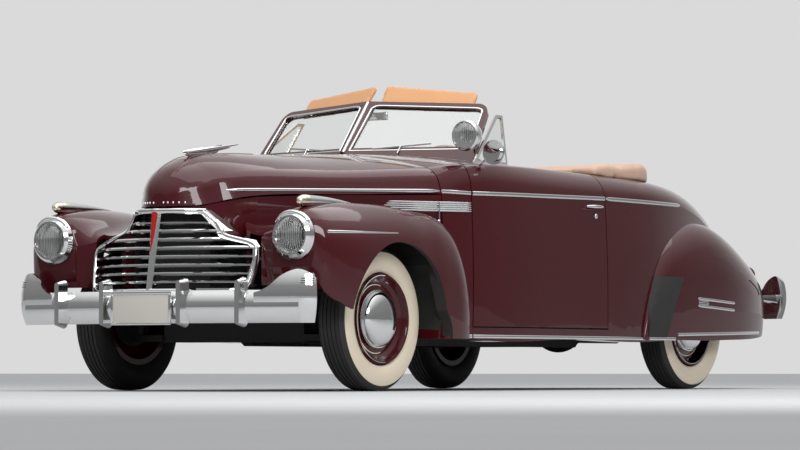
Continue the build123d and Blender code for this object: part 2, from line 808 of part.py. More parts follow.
# Splash apron between the front bumper and the foot of the grille
APRON_IN = 60.0
APRON_HALF_W = 465.0
apron_z = FRONT_RAIL_Z + FRONT_RAIL_H + FIT
with BuildPart() as nose_panel:
    with BuildSketch(level(apron_z)):
        with Locations((BUMPER_REACH - BUMPER_R, 0)):
            Circle(BUMPER_R - APRON_IN)
        with Locations((nose_x(apron_z) - nose_radius(apron_z), 0)):
            Circle(nose_radius(apron_z) - APRON_IN, mode=Mode.SUBTRACT)
        with Locations((GRILLE_X, 0)):
            Rectangle(600, 2 * APRON_HALF_W, mode=Mode.INTERSECT)
    extrude(amount=GRILLE_OUTLINE[0][1] - apron_z - FIT)
nose_panel.part.label = "nose_panel"
export_step(nose_panel.part, "parts/nose_panel.step")

# Headlamps: chrome bezels with their lenses
LAMP_X = 2390.6
LAMP_Y = 730.0
LAMP_Z = 752.0
LAMP_R = 118.0
LENS_R = 89.0
DOME_ARC = 88.0

with BuildPart() as headlamps:
    for side in (1, -1):
        seat = Plane(origin=(LAMP_X + FIT, side * LAMP_Y, LAMP_Z), x_dir=(0, 0, 1), z_dir=(0, 1, 0))
        with BuildSketch(seat):
            with BuildLine():
                Polyline((0, 0), (LAMP_R, 0), (LAMP_R + 3, 10), (LAMP_R - 8, 34), (LENS_R + 8, 48))
                Polyline((LENS_R + 8, 48), (LENS_R + FIT, 48), (LENS_R + FIT, 30), (0, 30), (0, 0))
            make_face()
        revolve(axis=Axis((LAMP_X, side * LAMP_Y, LAMP_Z), (1, 0, 0)))
headlamps.part.label = "headlamps"
export_step(headlamps.part, "parts/headlamps.step")

with BuildPart() as headlamp_lenses:
    for side in (1, -1):
        seat = Plane(origin=(LAMP_X + 30 + 2 * FIT, side * LAMP_Y, LAMP_Z), x_dir=(0, 0, 1), z_dir=(0, 1, 0))
        with BuildSketch(seat):
            with BuildLine():
                dome = EllipticalCenterArc((0, 14), LENS_R, 20, 0, arc_size=DOME_ARC)
                Polyline(dome @ 1, (0, (dome @ 1).Y), (0, 0), (LENS_R, 0), (LENS_R, 14))
            make_face()
        revolve(axis=Axis((LAMP_X, side * LAMP_Y, LAMP_Z), (1, 0, 0)))
headlamp_lenses.part.label = "headlamp_lenses"
export_step(headlamp_lenses.part, "parts/headlamp_lenses.step")


def pod(x_front, x_rear, y, z, radius, blunt):
    """Teardrop body along the car, fullest blunt behind its front end."""
    with BuildPart() as drop:
        with BuildSketch(Plane(origin=(0, y, z), x_dir=(1, 0, 0), z_dir=(0, -1, 0))):
            with BuildLine():
                EllipticalCenterArc((x_front - blunt, 0), blunt, radius, 0, arc_size=90)
                TangentArc((x_front - blunt, radius), (x_rear, 2), tangent=(-1, 0))
                Polyline((x_rear, 2), (x_rear, 0), (x_front, 0))
            make_face()
        revolve(axis=Axis((x_front, y, z), (1, 0, 0)))
    return drop.part


# Parking lamps on the fender crests and tail lamps on the rear fenders
with BuildPart() as rear_fender_solid:
    loft(sections=rear_fender_faces(REAR_FENDER_ROWS, -FIT, 0.0))
    mirror(about=Plane.XZ)

with BuildPart() as parking_lamps:
    for side in (1, -1):
        add(pod(2385, 1912, side * 745, 920, 30, 60))
    add(fender_solid.part, mode=Mode.SUBTRACT)
parking_lamps.part.label = "parking_lamps"
export_step(parking_lamps.part, "parts/parking_lamps.step")

with BuildPart() as tail_lamps:
    for side in (1, -1):
        with Locations((-2150, side * 765, 655)):
            Sphere(48)
    add(rear_fender_solid.part, mode=Mode.SUBTRACT)
    add(body_solid.part, mode=Mode.SUBTRACT)
tail_lamps.part.label = "tail_lamps"
export_step(tail_lamps.part, "parts/tail_lamps.step")

# Hood ornament
with BuildPart() as hood_solid:
    loft(sections=hood_faces(HOOD_ROWS[: NOSE_FIRST + 1], -FIT, 0.0))
    loft(sections=hood_faces(HOOD_ROWS[NOSE_FIRST:], -FIT, 0.0))

with BuildPart() as hood_ornament:
    with BuildSketch(side_plane(11)):
        with BuildLine():
            Polyline((2150, 1140), (2150, 1190), (2300, 1194), (2395, 1172), (2445, 1105), (2400, 1040), close=True)
        make_face()
    extrude(amount=22)
    add(hood_solid.part, mode=Mode.SUBTRACT)
hood_ornament.part.label = "hood_ornament"
export_step(hood_ornament.part, "parts/hood_ornament.step")

# Windshield: two flat panes in a V, in one frame; each half is drawn on its own leaning plane
SHIELD_FOOT = Vector(884, 0, 1232)
SHIELD_HEAD = Vector(640, 0, 1515)
SHIELD_SWEEP = 17.0
SHIELD_W = 712.0
SHIELD_HEAD_W = 738.0
HEAD_DROP = 36.0
HEAD_CORNER = 60.0
GLASS_CORNER = 45.0
SHIELD_T = 34.0
SHIELD_BORDER = 30.0
shield_out = Vector(-math.sin(math.radians(SHIELD_SWEEP)), math.cos(math.radians(SHIELD_SWEEP)), 0)
shield_rise = SHIELD_HEAD - SHIELD_FOOT
shield_up = shield_rise - shield_out * shield_rise.dot(shield_out)
SHIELD_H = shield_up.length
SHIELD = Plane(origin=SHIELD_FOOT, x_dir=shield_out, z_dir=shield_out.cross(shield_up))
HEAD_SHIFT = shield_rise.dot(shield_out)


def shield_outline(shrink):
    """Left half outline of the windshield on its plane, drawn in by shrink."""
    return (
        (shrink, shrink - (90 if shrink == 0 else 0)),
        (SHIELD_W - shrink, shrink - (90 if shrink == 0 else 0)),
        (SHIELD_HEAD_W - shrink, SHIELD_H - HEAD_DROP - shrink),
        (HEAD_SHIFT + shrink, SHIELD_H - shrink),
    )


with BuildPart() as windshield_frame:
    with BuildSketch(SHIELD) as sketch:
        with BuildLine():
            Polyline(shield_outline(0.0), close=True)
        make_face()
        fillet(sketch.vertices().sort_by_distance((SHIELD_HEAD_W, SHIELD_H, 0))[0], HEAD_CORNER)
    extrude(amount=SHIELD_T / 2, both=True)
    with BuildSketch(SHIELD) as sketch:
        with BuildLine():
            Polyline(shield_outline(SHIELD_BORDER), close=True)
        make_face()
        fillet(sketch.vertices().sort_by_distance((SHIELD_HEAD_W - SHIELD_BORDER, SHIELD_H, 0))[0], GLASS_CORNER)
    extrude(amount=SHIELD_T, both=True, mode=Mode.SUBTRACT)
    add(slab(0, 1500, -500, 0, 900, 1800), mode=Mode.SUBTRACT)
    mirror(about=Plane.XZ)
    add(body_solid.part, mode=Mode.SUBTRACT)
windshield_frame.part.label = "windshield_frame"
export_step(windshield_frame.part, "parts/windshield_frame.step")

with BuildPart() as windshield_glass:
    with BuildSketch(SHIELD) as sketch:
        with BuildLine():
            Polyline(shield_outline(SHIELD_BORDER + FIT), close=True)
        make_face()
        fillet(sketch.vertices().sort_by_distance((SHIELD_HEAD_W - SHIELD_BORDER, SHIELD_H, 0))[0], GLASS_CORNER)
    extrude(amount=3, both=True)
    mirror(about=Plane.XZ)
windshield_glass.part.label = "windshield_glass"
export_step(windshield_glass.part, "parts/windshield_glass.step")

# Sun visors, folded up behind and over the header
VISOR_OUTLINE = ((118, 345), (638, 315), (644, 424), (119, 474))
VISOR_T = 20.0
VISOR_BACK = SHIELD_T / 2 + VISOR_T / 2 + FIT
VISOR_CORNER = 22.0
with BuildPart() as sun_visors:
    with BuildSketch(SHIELD.offset(-VISOR_BACK)) as sketch:
        with BuildLine():
            Polyline(VISOR_OUTLINE, close=True)
        make_face()
        fillet(sketch.vertices(), VISOR_CORNER)
    extrude(amount=VISOR_T / 2, both=True)
    mirror(about=Plane.XZ)
sun_visors.part.label = "sun_visors"
export_step(sun_visors.part, "parts/sun_visors.step")

# Vent windows on the doors
VENT_FOOT = (728.0, 1172.0)
VENT_LEAN = 20.0
VENT_OUTLINE = ((775, 0), (441, 0), (332, 288), (398, 288))
VENT_DEEP = 40.0
VENT_BORDER = 16.0
for name, side in (("left", 1), ("right", -1)):
    lean = math.radians(VENT_LEAN)
    pane = Plane(
        origin=(0, side * VENT_FOOT[0], VENT_FOOT[1]),
        x_dir=(1, 0, 0),
        z_dir=(0, -math.cos(lean), -side * math.sin(lean)),
    )
    with BuildPart() as vent_window:
        with BuildSketch(pane):
            with BuildLine():
                Polyline(VENT_OUTLINE, close=True)
            make_face()
            with BuildLine():
                Polyline((775, 0), (775, -VENT_DEEP), (441, -VENT_DEEP), (441, 0), close=True)
            make_face()
        extrude(amount=7, both=True)
        with BuildSketch(pane):
            with BuildLine():
                Polyline(VENT_OUTLINE, close=True)
            make_face()
            offset(amount=-VENT_BORDER, kind=Kind.INTERSECTION, mode=Mode.REPLACE)
        extrude(amount=20, both=True, mode=Mode.SUBTRACT)
        add(body_solid.part, mode=Mode.SUBTRACT)
    vent_window.part.label = "vent_window_" + name
    export_step(vent_window.part, "parts/vent_window_%s.step" % name)
    with BuildPart() as vent_glass:
        with BuildSketch(pane):
            with BuildLine():
                Polyline(VENT_OUTLINE, close=True)
            make_face()
            offset(amount=-VENT_BORDER - FIT, kind=Kind.INTERSECTION, mode=Mode.REPLACE)
        extrude(amount=2.5, both=True)
    vent_glass.part.label = "vent_glass_" + name
    export_step(vent_glass.part, "parts/vent_glass_%s.step" % name)

# Spotlight on the left windshield post and mirror on the left door
with BuildPart() as spotlight:
    with BuildSketch(Plane(origin=(0, 800, 1303), x_dir=(1, 0, 0), z_dir=(0, -1, 0))):
        with BuildLine():
            Polyline((972, 0), (972, 72), (960, 80), (945, 78))
            ThreePointArc((945, 78), (880, 52), (845, 0))
            Line((845, 0), (972, 0))
        make_face()
    revolve(axis=Axis((900, 800, 1303), (1, 0, 0)))
    shaft_end = SHIELD.from_local_coords((SHIELD_W - 12, 40, 0))
    shaft_dir = shaft_end - Vector(900, 790, 1290)
    with BuildSketch(Plane(origin=(900, 790, 1290), z_dir=shaft_dir)):
        Circle(9)
    extrude(amount=shaft_dir.length)
    add(windshield_frame.part, mode=Mode.SUBTRACT)
spotlight.part.label = "spotlight"
export_step(spotlight.part, "parts/spotlight.step")

with BuildPart() as side_mirror:
    with BuildSketch(Plane(origin=(806, 878, 1222), z_dir=(1, 0, 0))):
        Circle(64)
    extrude(amount=10)
    with BuildSketch(Plane(origin=(816, 878, 1222), z_dir=(1, 0, 0))):
        Circle(50)
    extrude(amount=14)
    stalk = Vector(0, -92, -70)
    with BuildSketch(Plane(origin=(818, 874, 1216), z_dir=stalk)):
        Circle(7)
    extrude(amount=stalk.length)
    add(body_solid.part, mode=Mode.SUBTRACT)
side_mirror.part.label = "side_mirror"
export_step(side_mirror.part, "parts/side_mirror.step")

# Dashboard, steering column and wheel
COLUMN_FALL = 38.0
WHEEL_HUB = Vector(365, 370, 1105)
STEER_R = 212.0
column_dir = Vector(math.cos(math.radians(COLUMN_FALL)), 0, -math.sin(math.radians(COLUMN_FALL)))

with BuildPart() as dashboard:
    with BuildSketch(side_plane(680)):
        with BuildLine():
            Polyline((650, 1150), (650, 1110), (672, 960), (700, 930), (760, 930), (760, 1150), close=True)
        make_face()
    extrude(amount=1360)
dashboard.part.label = "dashboard"
export_step(dashboard.part, "parts/dashboard.step")

with BuildPart() as steering_column:
    with BuildSketch(Plane(origin=WHEEL_HUB + column_dir * 30, z_dir=column_dir)):
        Circle(21)
    extrude(amount=(1080 - WHEEL_HUB.X) / column_dir.X - 30 - 17)
    with Locations((730, WHEEL_HUB.Y, 875)):
        Box(30, 30, 110)
steering_column.part.label = "steering_column"
export_step(steering_column.part, "parts/steering_column.step")

with BuildPart() as steering_wheel:
    with BuildSketch(Plane(origin=WHEEL_HUB, x_dir=(0, 1, 0), z_dir=-column_dir)):
        Circle(38)
    extrude(amount=34, both=False)
    with BuildSketch(Plane(origin=WHEEL_HUB + column_dir * (30 - FIT), x_dir=(0, 1, 0), z_dir=-column_dir)):
        Circle(24)
    extrude(amount=34)
    for turn in (90, 210, 330):
        with BuildSketch(Plane(origin=WHEEL_HUB, x_dir=(0, 1, 0), z_dir=-column_dir)):
            with PolarLocations(STEER_R / 2, 1, start_angle=turn):
                Rectangle(STEER_R, 22)
        extrude(amount=10)
    rim_up = Vector(math.sin(math.radians(COLUMN_FALL)), 0, math.cos(math.radians(COLUMN_FALL)))
    rim = Plane(origin=WHEEL_HUB - column_dir * 5 + rim_up * STEER_R, x_dir=rim_up, z_dir=(0, 1, 0))
    with BuildSketch(rim):
        Circle(14)
    revolve(axis=Axis(WHEEL_HUB, column_dir))
steering_wheel.part.label = "steering_wheel"
export_step(steering_wheel.part, "parts/steering_wheel.step")

# Seats
SEATS = (
    # name, half width, side profile
    (
        "front_seat",
        640,
        ((370, 430), (385, 690), (330, 755), (-20, 735), (-120, 1120), (-160, 1180), (-235, 1180), (-225, 430)),
    ),
    (
        "rear_seat",
        610,
        ((-430, 430), (-420, 700), (-465, 750), (-640, 735), (-690, 1080), (-759.7, 1105), (-759.7, 430)),
    ),
)
for name, half, profile in SEATS:
    with BuildPart() as seat:
        with BuildSketch(side_plane(half)):
            with BuildLine():
                Polyline(profile, close=True)
            make_face()
        extrude(amount=2 * half)
        fillet(seat.edges().filter_by(Axis.Y).group_by(Axis.Z)[-1], 25)
    seat.part.label = name
    export_step(seat.part, "parts/%s.step" % name)

# Folded top under its cover
BOOT_ROWS = (
    # x, half width, foot, top, corner
    (-352, 800, 1122, 1194, 30),
    (-600, 808, 1118, 1214, 45),
    (-850, 800, 1112, 1228, 50),
    (-985, 775, 1110, 1222, 50),
    (-1050, 735, 1112, 1186, 32),
)
BOOT_ARM_Y = 655.0
BOOT_ARM_X = -690.0
with BuildPart() as top_boot:
    boot_faces = []
    for x, half, foot, top, corner in BOOT_ROWS:
        with BuildSketch(station(x), mode=Mode.PRIVATE) as sketch:
            with Locations((0, (foot + top) / 2)):
                RectangleRounded(2 * half, top - foot, corner * 0.6)
        boot_faces.append(sketch.sketch)
    loft(sections=boot_faces)
    add(slab(BOOT_ARM_X, 0, -BOOT_ARM_Y, BOOT_ARM_Y, 1000, 1400), mode=Mode.SUBTRACT)
    add(body_solid.part, mode=Mode.SUBTRACT)
top_boot.part.label = "top_boot"
export_step(top_boot.part, "parts/top_boot.step")

# Chassis frame: two kicked-up rails and cross members
with BuildPart() as chassis_frame:
    for side in (1, -1):
        with BuildSketch(side_plane(side * RAIL_Y + (RAIL_W if side > 0 else 0))):
            with BuildLine():
                Polyline(
                    (RAIL_FRONT_X, FRONT_RAIL_Z),
                    (RAIL_FRONT_X, FRONT_RAIL_Z + FRONT_RAIL_H),
                    (1260, FRONT_RAIL_Z + FRONT_RAIL_H),
                    (1100, FLOOR_Z),
                    (-780, FLOOR_Z),
                    (-965, DECK_FLOOR_Z),
                    (-2260, DECK_FLOOR_Z),
                    (-2260, 372),
                    (-2180, 372),
                    (-2120, REAR_RAIL_Z),
                    (-935, REAR_RAIL_Z),
                    (-700, MID_RAIL_Z),
                    (1120, MID_RAIL_Z),
                    (1300, FRONT_RAIL_Z),
                    close=True,
                )
            make_face()
        extrude(amount=RAIL_W)
    for x, z0, z1 in (
        (2300, FRONT_RAIL_Z, FRONT_RAIL_Z + FRONT_RAIL_H),
        (620, MID_RAIL_Z + 2, 262),
        (-480, MID_RAIL_Z + 2, 262),
        (-1910, 485, DECK_FLOOR_Z),
    ):
        with Locations((x, 0, (z0 + z1) / 2)):
            Box(90, 2 * RAIL_Y + 20, z1 - z0)
chassis_frame.part.label = "chassis_frame"
export_step(chassis_frame.part, "parts/chassis_frame.step")

# Radiator, engine, driveline, exhaust and fuel tank
with BuildPart() as radiator:
    with Locations((2300, 0, 675)):
        Box(70, 370, 410)
radiator.part.label = "radiator"
export_step(radiator.part, "parts/radiator.step")

with BuildPart() as engine:
    with Locations((1751, 0, 715)):
        Box(798, 320, 490)
    with Locations((1940, 0, 490)):
        Box(80, 2 * RAIL_Y + 60, 40)
engine.part.label = "engine"
export_step(engine.part, "parts/engine.step")

SHAFT_Z = 330.0
with BuildPart() as driveline:
    with Locations((1302, 0, 420)):
        Box(100, 360, 360)
    with Locations((1026, 0, 318)):
        Box(452, 220, 154)
    with BuildSketch(Plane(origin=(-1100, 0, SHAFT_Z), z_dir=(1, 0, 0))):
        Circle(42)
    extrude(amount=1950)
driveline.part.label = "driveline"
export_step(driveline.part, "parts/driveline.step")

EXHAUST_Y = -330.0
EXHAUST_Z = 290.0
with BuildPart() as exhaust:
    with BuildSketch(Plane(origin=(0, EXHAUST_Y, EXHAUST_Z), x_dir=(1, 0, 0), z_dir=(0, -1, 0))):
        with BuildLine():
            Polyline((1500, 0), (1500, 24), (400, 24), (360, 68), (-320, 68), (-360, 24), (-2540, 24), (-2540, 0))
            Line((-2540, 0), (1500, 0))
        make_face()
    revolve(axis=Axis((0, EXHAUST_Y, EXHAUST_Z), (1, 0, 0)))
    with Locations((1476, -245, 290)):
        Box(48, 170, 48)
    with Locations((1476, -184, 400)):
        Box(48, 48, 268)
exhaust.part.label = "exhaust"
export_step(exhaust.part, "parts/exhaust.step")

with BuildPart() as fuel_tank:
    with Locations((-1990, 20, 410)):
        Box(420, 560, 150)
    fillet(fuel_tank.edges().filter_by(Axis.X), 30)
fuel_tank.part.label = "fuel_tank"
export_step(fuel_tank.part, "parts/fuel_tank.step")

# Rear axle with its centre housing and spring seats, and the coil springs
HOUSING_R = 150.0
AXLE_TUBE_R = 36.0
with BuildPart() as rear_axle:
    with Locations((REAR_AXLE_X, 0, TYRE_R)):
        Cylinder(AXLE_TUBE_R, REAR_TRACK - 200, rotation=(90, 0, 0))
        Cylinder(SPINDLE_R, REAR_TRACK - 20, rotation=(90, 0, 0))
        Sphere(HOUSING_R)
    with BuildSketch(Plane(origin=(-1100, 0, SHAFT_Z), z_dir=(-1, 0, 0))):
        Circle(60)
    extrude(amount=140)
    for side in (1, -1):
        with Locations((REAR_AXLE_X - 85, side * IRON_Y, 315)):
            Box(170, 90, 36)
rear_axle.part.label = "rear_axle"
export_step(rear_axle.part, "parts/rear_axle.step")

with BuildPart() as rear_springs:
    for side in (1, -1):
        with BuildSketch(
            Plane(origin=(REAR_AXLE_X - 110, side * IRON_Y, 0), x_dir=(1, 0, 0), z_dir=(0, -1, 0))
        ):
            with BuildLine():
                Polyline((0, 333), (38, 333), (38, 345), (30, 355), (38, 365), (38, 380), (30, 390), (38, 400))
                Polyline((38, 400), (38, 415), (30, 425), (38, 435), (38, 455), (0, 455), (0, 333))
            make_face()
        revolve(axis=Axis((REAR_AXLE_X - 110, side * IRON_Y, 0), (0, 0, 1)))
rear_springs.part.label = "rear_springs"
export_step(rear_springs.part, "parts/rear_springs.step")

# Front suspension: cross member with lower arms, and upper arms on the rails
with BuildPart() as front_suspension:
    with Locations((FRONT_AXLE_X, 0, 292.5)):
        Box(216, 2 * (RAIL_Y + 30), 95)
    for side in (1, -1):
        for z0, z1, y0, wide in ((250, 282, RAIL_Y + 30, 128), (470, 500, RAIL_Y + 10, 78)):
            with BuildSketch(level(z0)):
                with BuildLine():
                    Polyline(
                        (FRONT_AXLE_X - wide, side * y0),
                        (FRONT_AXLE_X + wide, side * y0),
                        (FRONT_AXLE_X + 30, side * (KINGPIN_Y + 32)),
                        (FRONT_AXLE_X - 30, side * (KINGPIN_Y + 32)),
                        close=True,
                    )
                make_face()
            extrude(amount=z1 - z0)
front_suspension.part.label = "front_suspension"
export_step(front_suspension.part, "parts/front_suspension.step")


def wheel_plane(x, y, steer, side):
    """Level plane at a wheel's centre; its axes are the wheel's heading and its axle outwards."""
    turn = math.radians(steer)
    return Plane(origin=(x, y, TYRE_R), x_dir=(math.cos(turn), -math.sin(turn), 0), z_dir=(0, 0, side))


# Wheels, tyres and steered knuckles
turn = math.radians(REST_STEER)
WHEEL_OFF = FRONT_TRACK / 2 - KINGPIN_Y
WHEELS = (
    # name, side, steered, x, y
    ("front_left", 1, True, FRONT_AXLE_X, FRONT_TRACK / 2),
    ("front_right", -1, True, FRONT_AXLE_X, -FRONT_TRACK / 2),
    ("rear_left", 1, False, REAR_AXLE_X, REAR_TRACK / 2),
    ("rear_right", -1, False, REAR_AXLE_X, -REAR_TRACK / 2),
)
for name, side, steered, x, y in WHEELS:
    steer = REST_STEER if steered else 0.0
    if steered:
        x = FRONT_AXLE_X + side * WHEEL_OFF * math.sin(turn)
        y = side * (KINGPIN_Y + WHEEL_OFF * math.cos(turn))
    hub = wheel_plane(x, y, steer, side)
    axle = Axis((x, y, TYRE_R), (side * math.sin(math.radians(steer)), side * math.cos(math.radians(steer)), 0))
    with BuildPart() as tyre:
        with BuildSketch(hub):
            with BuildLine():
                Polyline(
                    (RIM_R + FIT, -75),
                    (298, -TYRE_W / 2),
                    (TYRE_R, -58),
                    (TYRE_R, 58),
                    (298, TYRE_W / 2),
                    (RIM_R + FIT, 75),
                    close=True,
                )
            make_face()
        revolve(axis=axle)
    tyre.part.label = "tyre_" + name
    export_step(tyre.part, "parts/tyre_%s.step" % name)
    with BuildPart() as wheel:
        with BuildSketch(hub):
            with BuildLine():
                Polyline((SPINDLE_R + FIT, -20), (60, -20), (60, 12), (120, 26), (188, 20), (196, -75))
                Polyline((196, -75), (RIM_R, -75), (RIM_R, 75), (212, 75), (200, 46), (180, 34), (142, 40))
                Polyline((142, 40), (HUBCAP_R, 58))
                dome = EllipticalCenterArc((0, 58), HUBCAP_R, 42, 0, arc_size=DOME_ARC)
                Polyline(dome @ 1, (0, (dome @ 1).Y), (0, 72), (SPINDLE_R + FIT, 72), (SPINDLE_R + FIT, -20))
            make_face()
        revolve(axis=axle)
    wheel.part.label = "wheel_" + name
    export_step(wheel.part, "parts/wheel_%s.step" % name)
    if steered:
        with BuildPart() as knuckle:
            with Locations((FRONT_AXLE_X, side * KINGPIN_Y, (282 + 470) / 2)):
                Cylinder(KINGPIN_R, 470 - 282 - 2 * FIT)
            with BuildSketch(hub):
                with BuildLine():
                    Polyline((0, -WHEEL_OFF), (34, -WHEEL_OFF), (34, -34), (130, -34), (130, -26), (34, -24))
                    Polyline((34, -24), (SPINDLE_R, -24), (SPINDLE_R, 64), (0, 64), (0, -WHEEL_OFF))
                make_face()
            revolve(axis=axle)
        knuckle.part.label = "knuckle_" + name.split("_")[1]
        export_step(knuckle.part, "parts/%s.step" % knuckle.part.label)
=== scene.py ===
import json
import math

import bpy
from mathutils import Matrix, Vector


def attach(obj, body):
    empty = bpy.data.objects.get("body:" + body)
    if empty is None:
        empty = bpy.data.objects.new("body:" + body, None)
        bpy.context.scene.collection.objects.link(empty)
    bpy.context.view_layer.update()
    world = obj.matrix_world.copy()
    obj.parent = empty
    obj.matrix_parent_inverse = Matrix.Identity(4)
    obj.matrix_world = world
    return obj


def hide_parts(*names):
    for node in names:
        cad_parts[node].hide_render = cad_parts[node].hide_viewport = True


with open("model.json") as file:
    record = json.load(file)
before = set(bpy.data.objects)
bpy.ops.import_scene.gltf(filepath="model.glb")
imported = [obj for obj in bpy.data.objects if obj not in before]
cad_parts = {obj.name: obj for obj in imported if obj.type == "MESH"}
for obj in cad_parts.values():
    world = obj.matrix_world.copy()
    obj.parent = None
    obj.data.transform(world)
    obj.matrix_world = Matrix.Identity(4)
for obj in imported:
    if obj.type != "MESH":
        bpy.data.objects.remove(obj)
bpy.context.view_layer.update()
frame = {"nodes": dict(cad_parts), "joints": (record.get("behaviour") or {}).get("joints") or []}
nodes = frame["nodes"]

# The photograph's frame and the camera that took it, in pixels, metres and degrees
IMAGE_W = 800
FOCAL_PX = 3911.4
SENSOR_MM = 36.0
CAMERA_AT = (17.861, 11.416, 0.093)
CAMERA_YAW = 213.094
CAMERA_PITCH = 2.158


# Materials


class Value:
    """A number or colour that varies over a surface; arithmetic on it adds Math nodes."""

    def __init__(self, finish, socket):
        self.finish = finish
        self.socket = socket

    def math(self, operation, first, second=0.0):
        return self.finish.node("ShaderNodeMath", {"operation": operation}, {0: first, 1: second})

    def __add__(self, other):
        return self.math("ADD", self, other)

    def __radd__(self, other):
        return self.math("ADD", other, self)

    def __mul__(self, other):
        return self.math("MULTIPLY", self, other)


class Finish:
    """One material: a Principled shader and the nodes that feed it."""

    def __init__(self, name, **sockets):
        self.material = bpy.data.materials.new(name)
        self.material.use_nodes = True
        self.tree = self.material.node_tree
        self.shader = self.tree.nodes["Principled BSDF"]
        self.feed(**sockets)

    def feed(self, **sockets):
        """Sets or links sockets of the shader, named with underscores for spaces."""
        for key, value in sockets.items():
            socket = self.shader.inputs[key.replace("_", " ")]
            if isinstance(value, Value):
                self.tree.links.new(value.socket, socket)
            else:
                socket.default_value = value

    def node(self, kind, settings=None, inputs=None, out=0):
        """Adds a node of that kind: its settings first, then the values or links of its sockets."""
        node = self.tree.nodes.new(kind)
        for key, value in (settings or {}).items():
            setattr(node, key, value)
        for key, value in (inputs or {}).items():
            if isinstance(value, Value):
                self.tree.links.new(value.socket, node.inputs[key])
            else:
                node.inputs[key].default_value = value
        return Value(self, node.outputs[out])

    def place(self):
        """The point on the piece, in metres in the car's own frame."""
        return self.node("ShaderNodeTexCoord", out=3)

    def axis(self, which):
        """One coordinate of that point: 0 along, 1 across, 2 up."""
        return self.node("ShaderNodeSeparateXYZ", None, {0: self.place()}, out=which)

    def noise(self, scale, detail=3.0, rough=0.5):
        """Cloudy noise from 0 to 1, scale blobs to a metre."""
        return self.node(
            "ShaderNodeTexNoise", None,
            {"Vector": self.place(), "Scale": scale, "Detail": detail, "Roughness": rough},
        )

    def math_wave(self, pitch):
        """Rounded ridges across the car, one to each pitch, from 0 to 1."""
        turn = self.axis(1) * (math.pi / pitch)
        return self.node("ShaderNodeMath", {"operation": "ABSOLUTE"}, {0: turn.math("SINE", turn)})

    def mix(self, factor, first, second):
        """Colour between two, by a factor from 0 to 1."""
        return self.node("ShaderNodeMix", {"data_type": "RGBA"}, {0: factor, 6: first, 7: second}, out=2)

    def bump(self, height, depth, strength=1.0):
        """Relief of that depth in metres, fed to the shader's normal."""
        relief = self.node(
            "ShaderNodeBump", None, {"Height": height, "Distance": depth, "Strength": strength}
        )
        self.feed(Normal=relief)


def rgb(red, green, blue):
    """Linear colour with full cover."""
    return (red, green, blue, 1.0)


def enamel(name, colour, deep, gloss=0.16):
    """Polished enamel under clear coat, a little cloudy, with faint orange peel."""
    made = Finish(name, Coat_Weight=1.0, Coat_Roughness=0.02, Coat_IOR=1.42, Specular_IOR_Level=0.12)
    cloud = made.noise(2.5, 4.0)
    made.feed(Base_Color=made.mix(cloud, rgb(*deep), rgb(*colour)))
    made.feed(Roughness=gloss + made.noise(60.0) * 0.06)
    made.bump(made.noise(420.0, 2.0), 0.0002, 0.06)
    return made.material


def bright_metal(name, colour=(0.86, 0.865, 0.87), gloss=0.03, spread=0.05):
    """Chrome plate with faint haze and polish marks."""
    made = Finish(name, Metallic=1.0)
    haze = made.noise(9.0, 5.0, 0.65)
    made.feed(Base_Color=made.mix(haze, rgb(*(0.9 * c for c in colour)), rgb(*colour)))
    made.feed(Roughness=gloss + haze * spread)
    made.bump(made.noise(35.0, 2.0), 0.0008, 0.04)
    return made.material


def matt_black(name, colour, pale, rough=0.6, grain=300.0):
    """Dull black paint or rubber with dust in its grain."""
    made = Finish(name)
    dust = made.noise(14.0, 5.0, 0.6)
    made.feed(Base_Color=made.mix(dust, rgb(*colour), rgb(*pale)))
    made.feed(Roughness=rough + dust * 0.2)
    made.bump(made.noise(grain, 3.0), 0.0006, 0.25)
    return made.material


def leather(name, colour, deep, grain=260.0):
    """Grained hide with darker hollows."""
    made = Finish(name, Specular_IOR_Level=0.45, Sheen_Weight=0.1)
    cells = made.node(
        "ShaderNodeTexVoronoi", {"feature": "DISTANCE_TO_EDGE"}, {"Vector": made.place(), "Scale": grain}
    )
    cloud = made.noise(6.0, 4.0)
    made.feed(Base_Color=made.mix(cloud, rgb(*deep), rgb(*colour)))
    made.feed(Roughness=0.5 + cloud * 0.15)
    made.bump(cells, 0.0008, 0.5)
    return made.material


def clear_glass(name, tint=(0.93, 0.96, 0.94), rough=0.0, flute=None):
    """Clear glass, very slightly green, with a trace of smear, and upright flutes where asked for."""
    made = Finish(name, Base_Color=rgb(*tint), Transmission_Weight=1.0, IOR=1.45)
    made.feed(Roughness=rough + made.noise(4.0, 4.0) * 0.012)
    if flute:
        made.bump(made.math_wave(flute), 0.004, 0.7)
    return made.material


PAINT = enamel("maroon_enamel", (0.066, 0.0050, 0.0085), (0.056, 0.0040, 0.007))
CHROME = bright_metal("polished_chrome")
BLACK = matt_black("chassis_black", (0.012, 0.012, 0.012), (0.03, 0.028, 0.026))
RUBBER = matt_black("black_rubber", (0.014, 0.014, 0.014), (0.032, 0.031, 0.03), 0.55)
ENGINE = enamel("engine_enamel", (0.06, 0.075, 0.07), (0.045, 0.055, 0.05), 0.4)
HIDE = leather("tan_hide", (0.50, 0.27, 0.15), (0.42, 0.21, 0.11))
IVORY = enamel("ivory_hard_rubber", (0.52, 0.40, 0.25), (0.46, 0.34, 0.2), 0.3)
GLASS = clear_glass("window_glass")
LENS = clear_glass("lamp_glass", (0.97, 0.98, 0.97), 0.02, 0.011)
RED_LENS = clear_glass("red_glass", (0.5, 0.01, 0.01), 0.05)
CANVAS = leather("boot_canvas", (0.66, 0.45, 0.34), (0.58, 0.38, 0.28), 700.0)

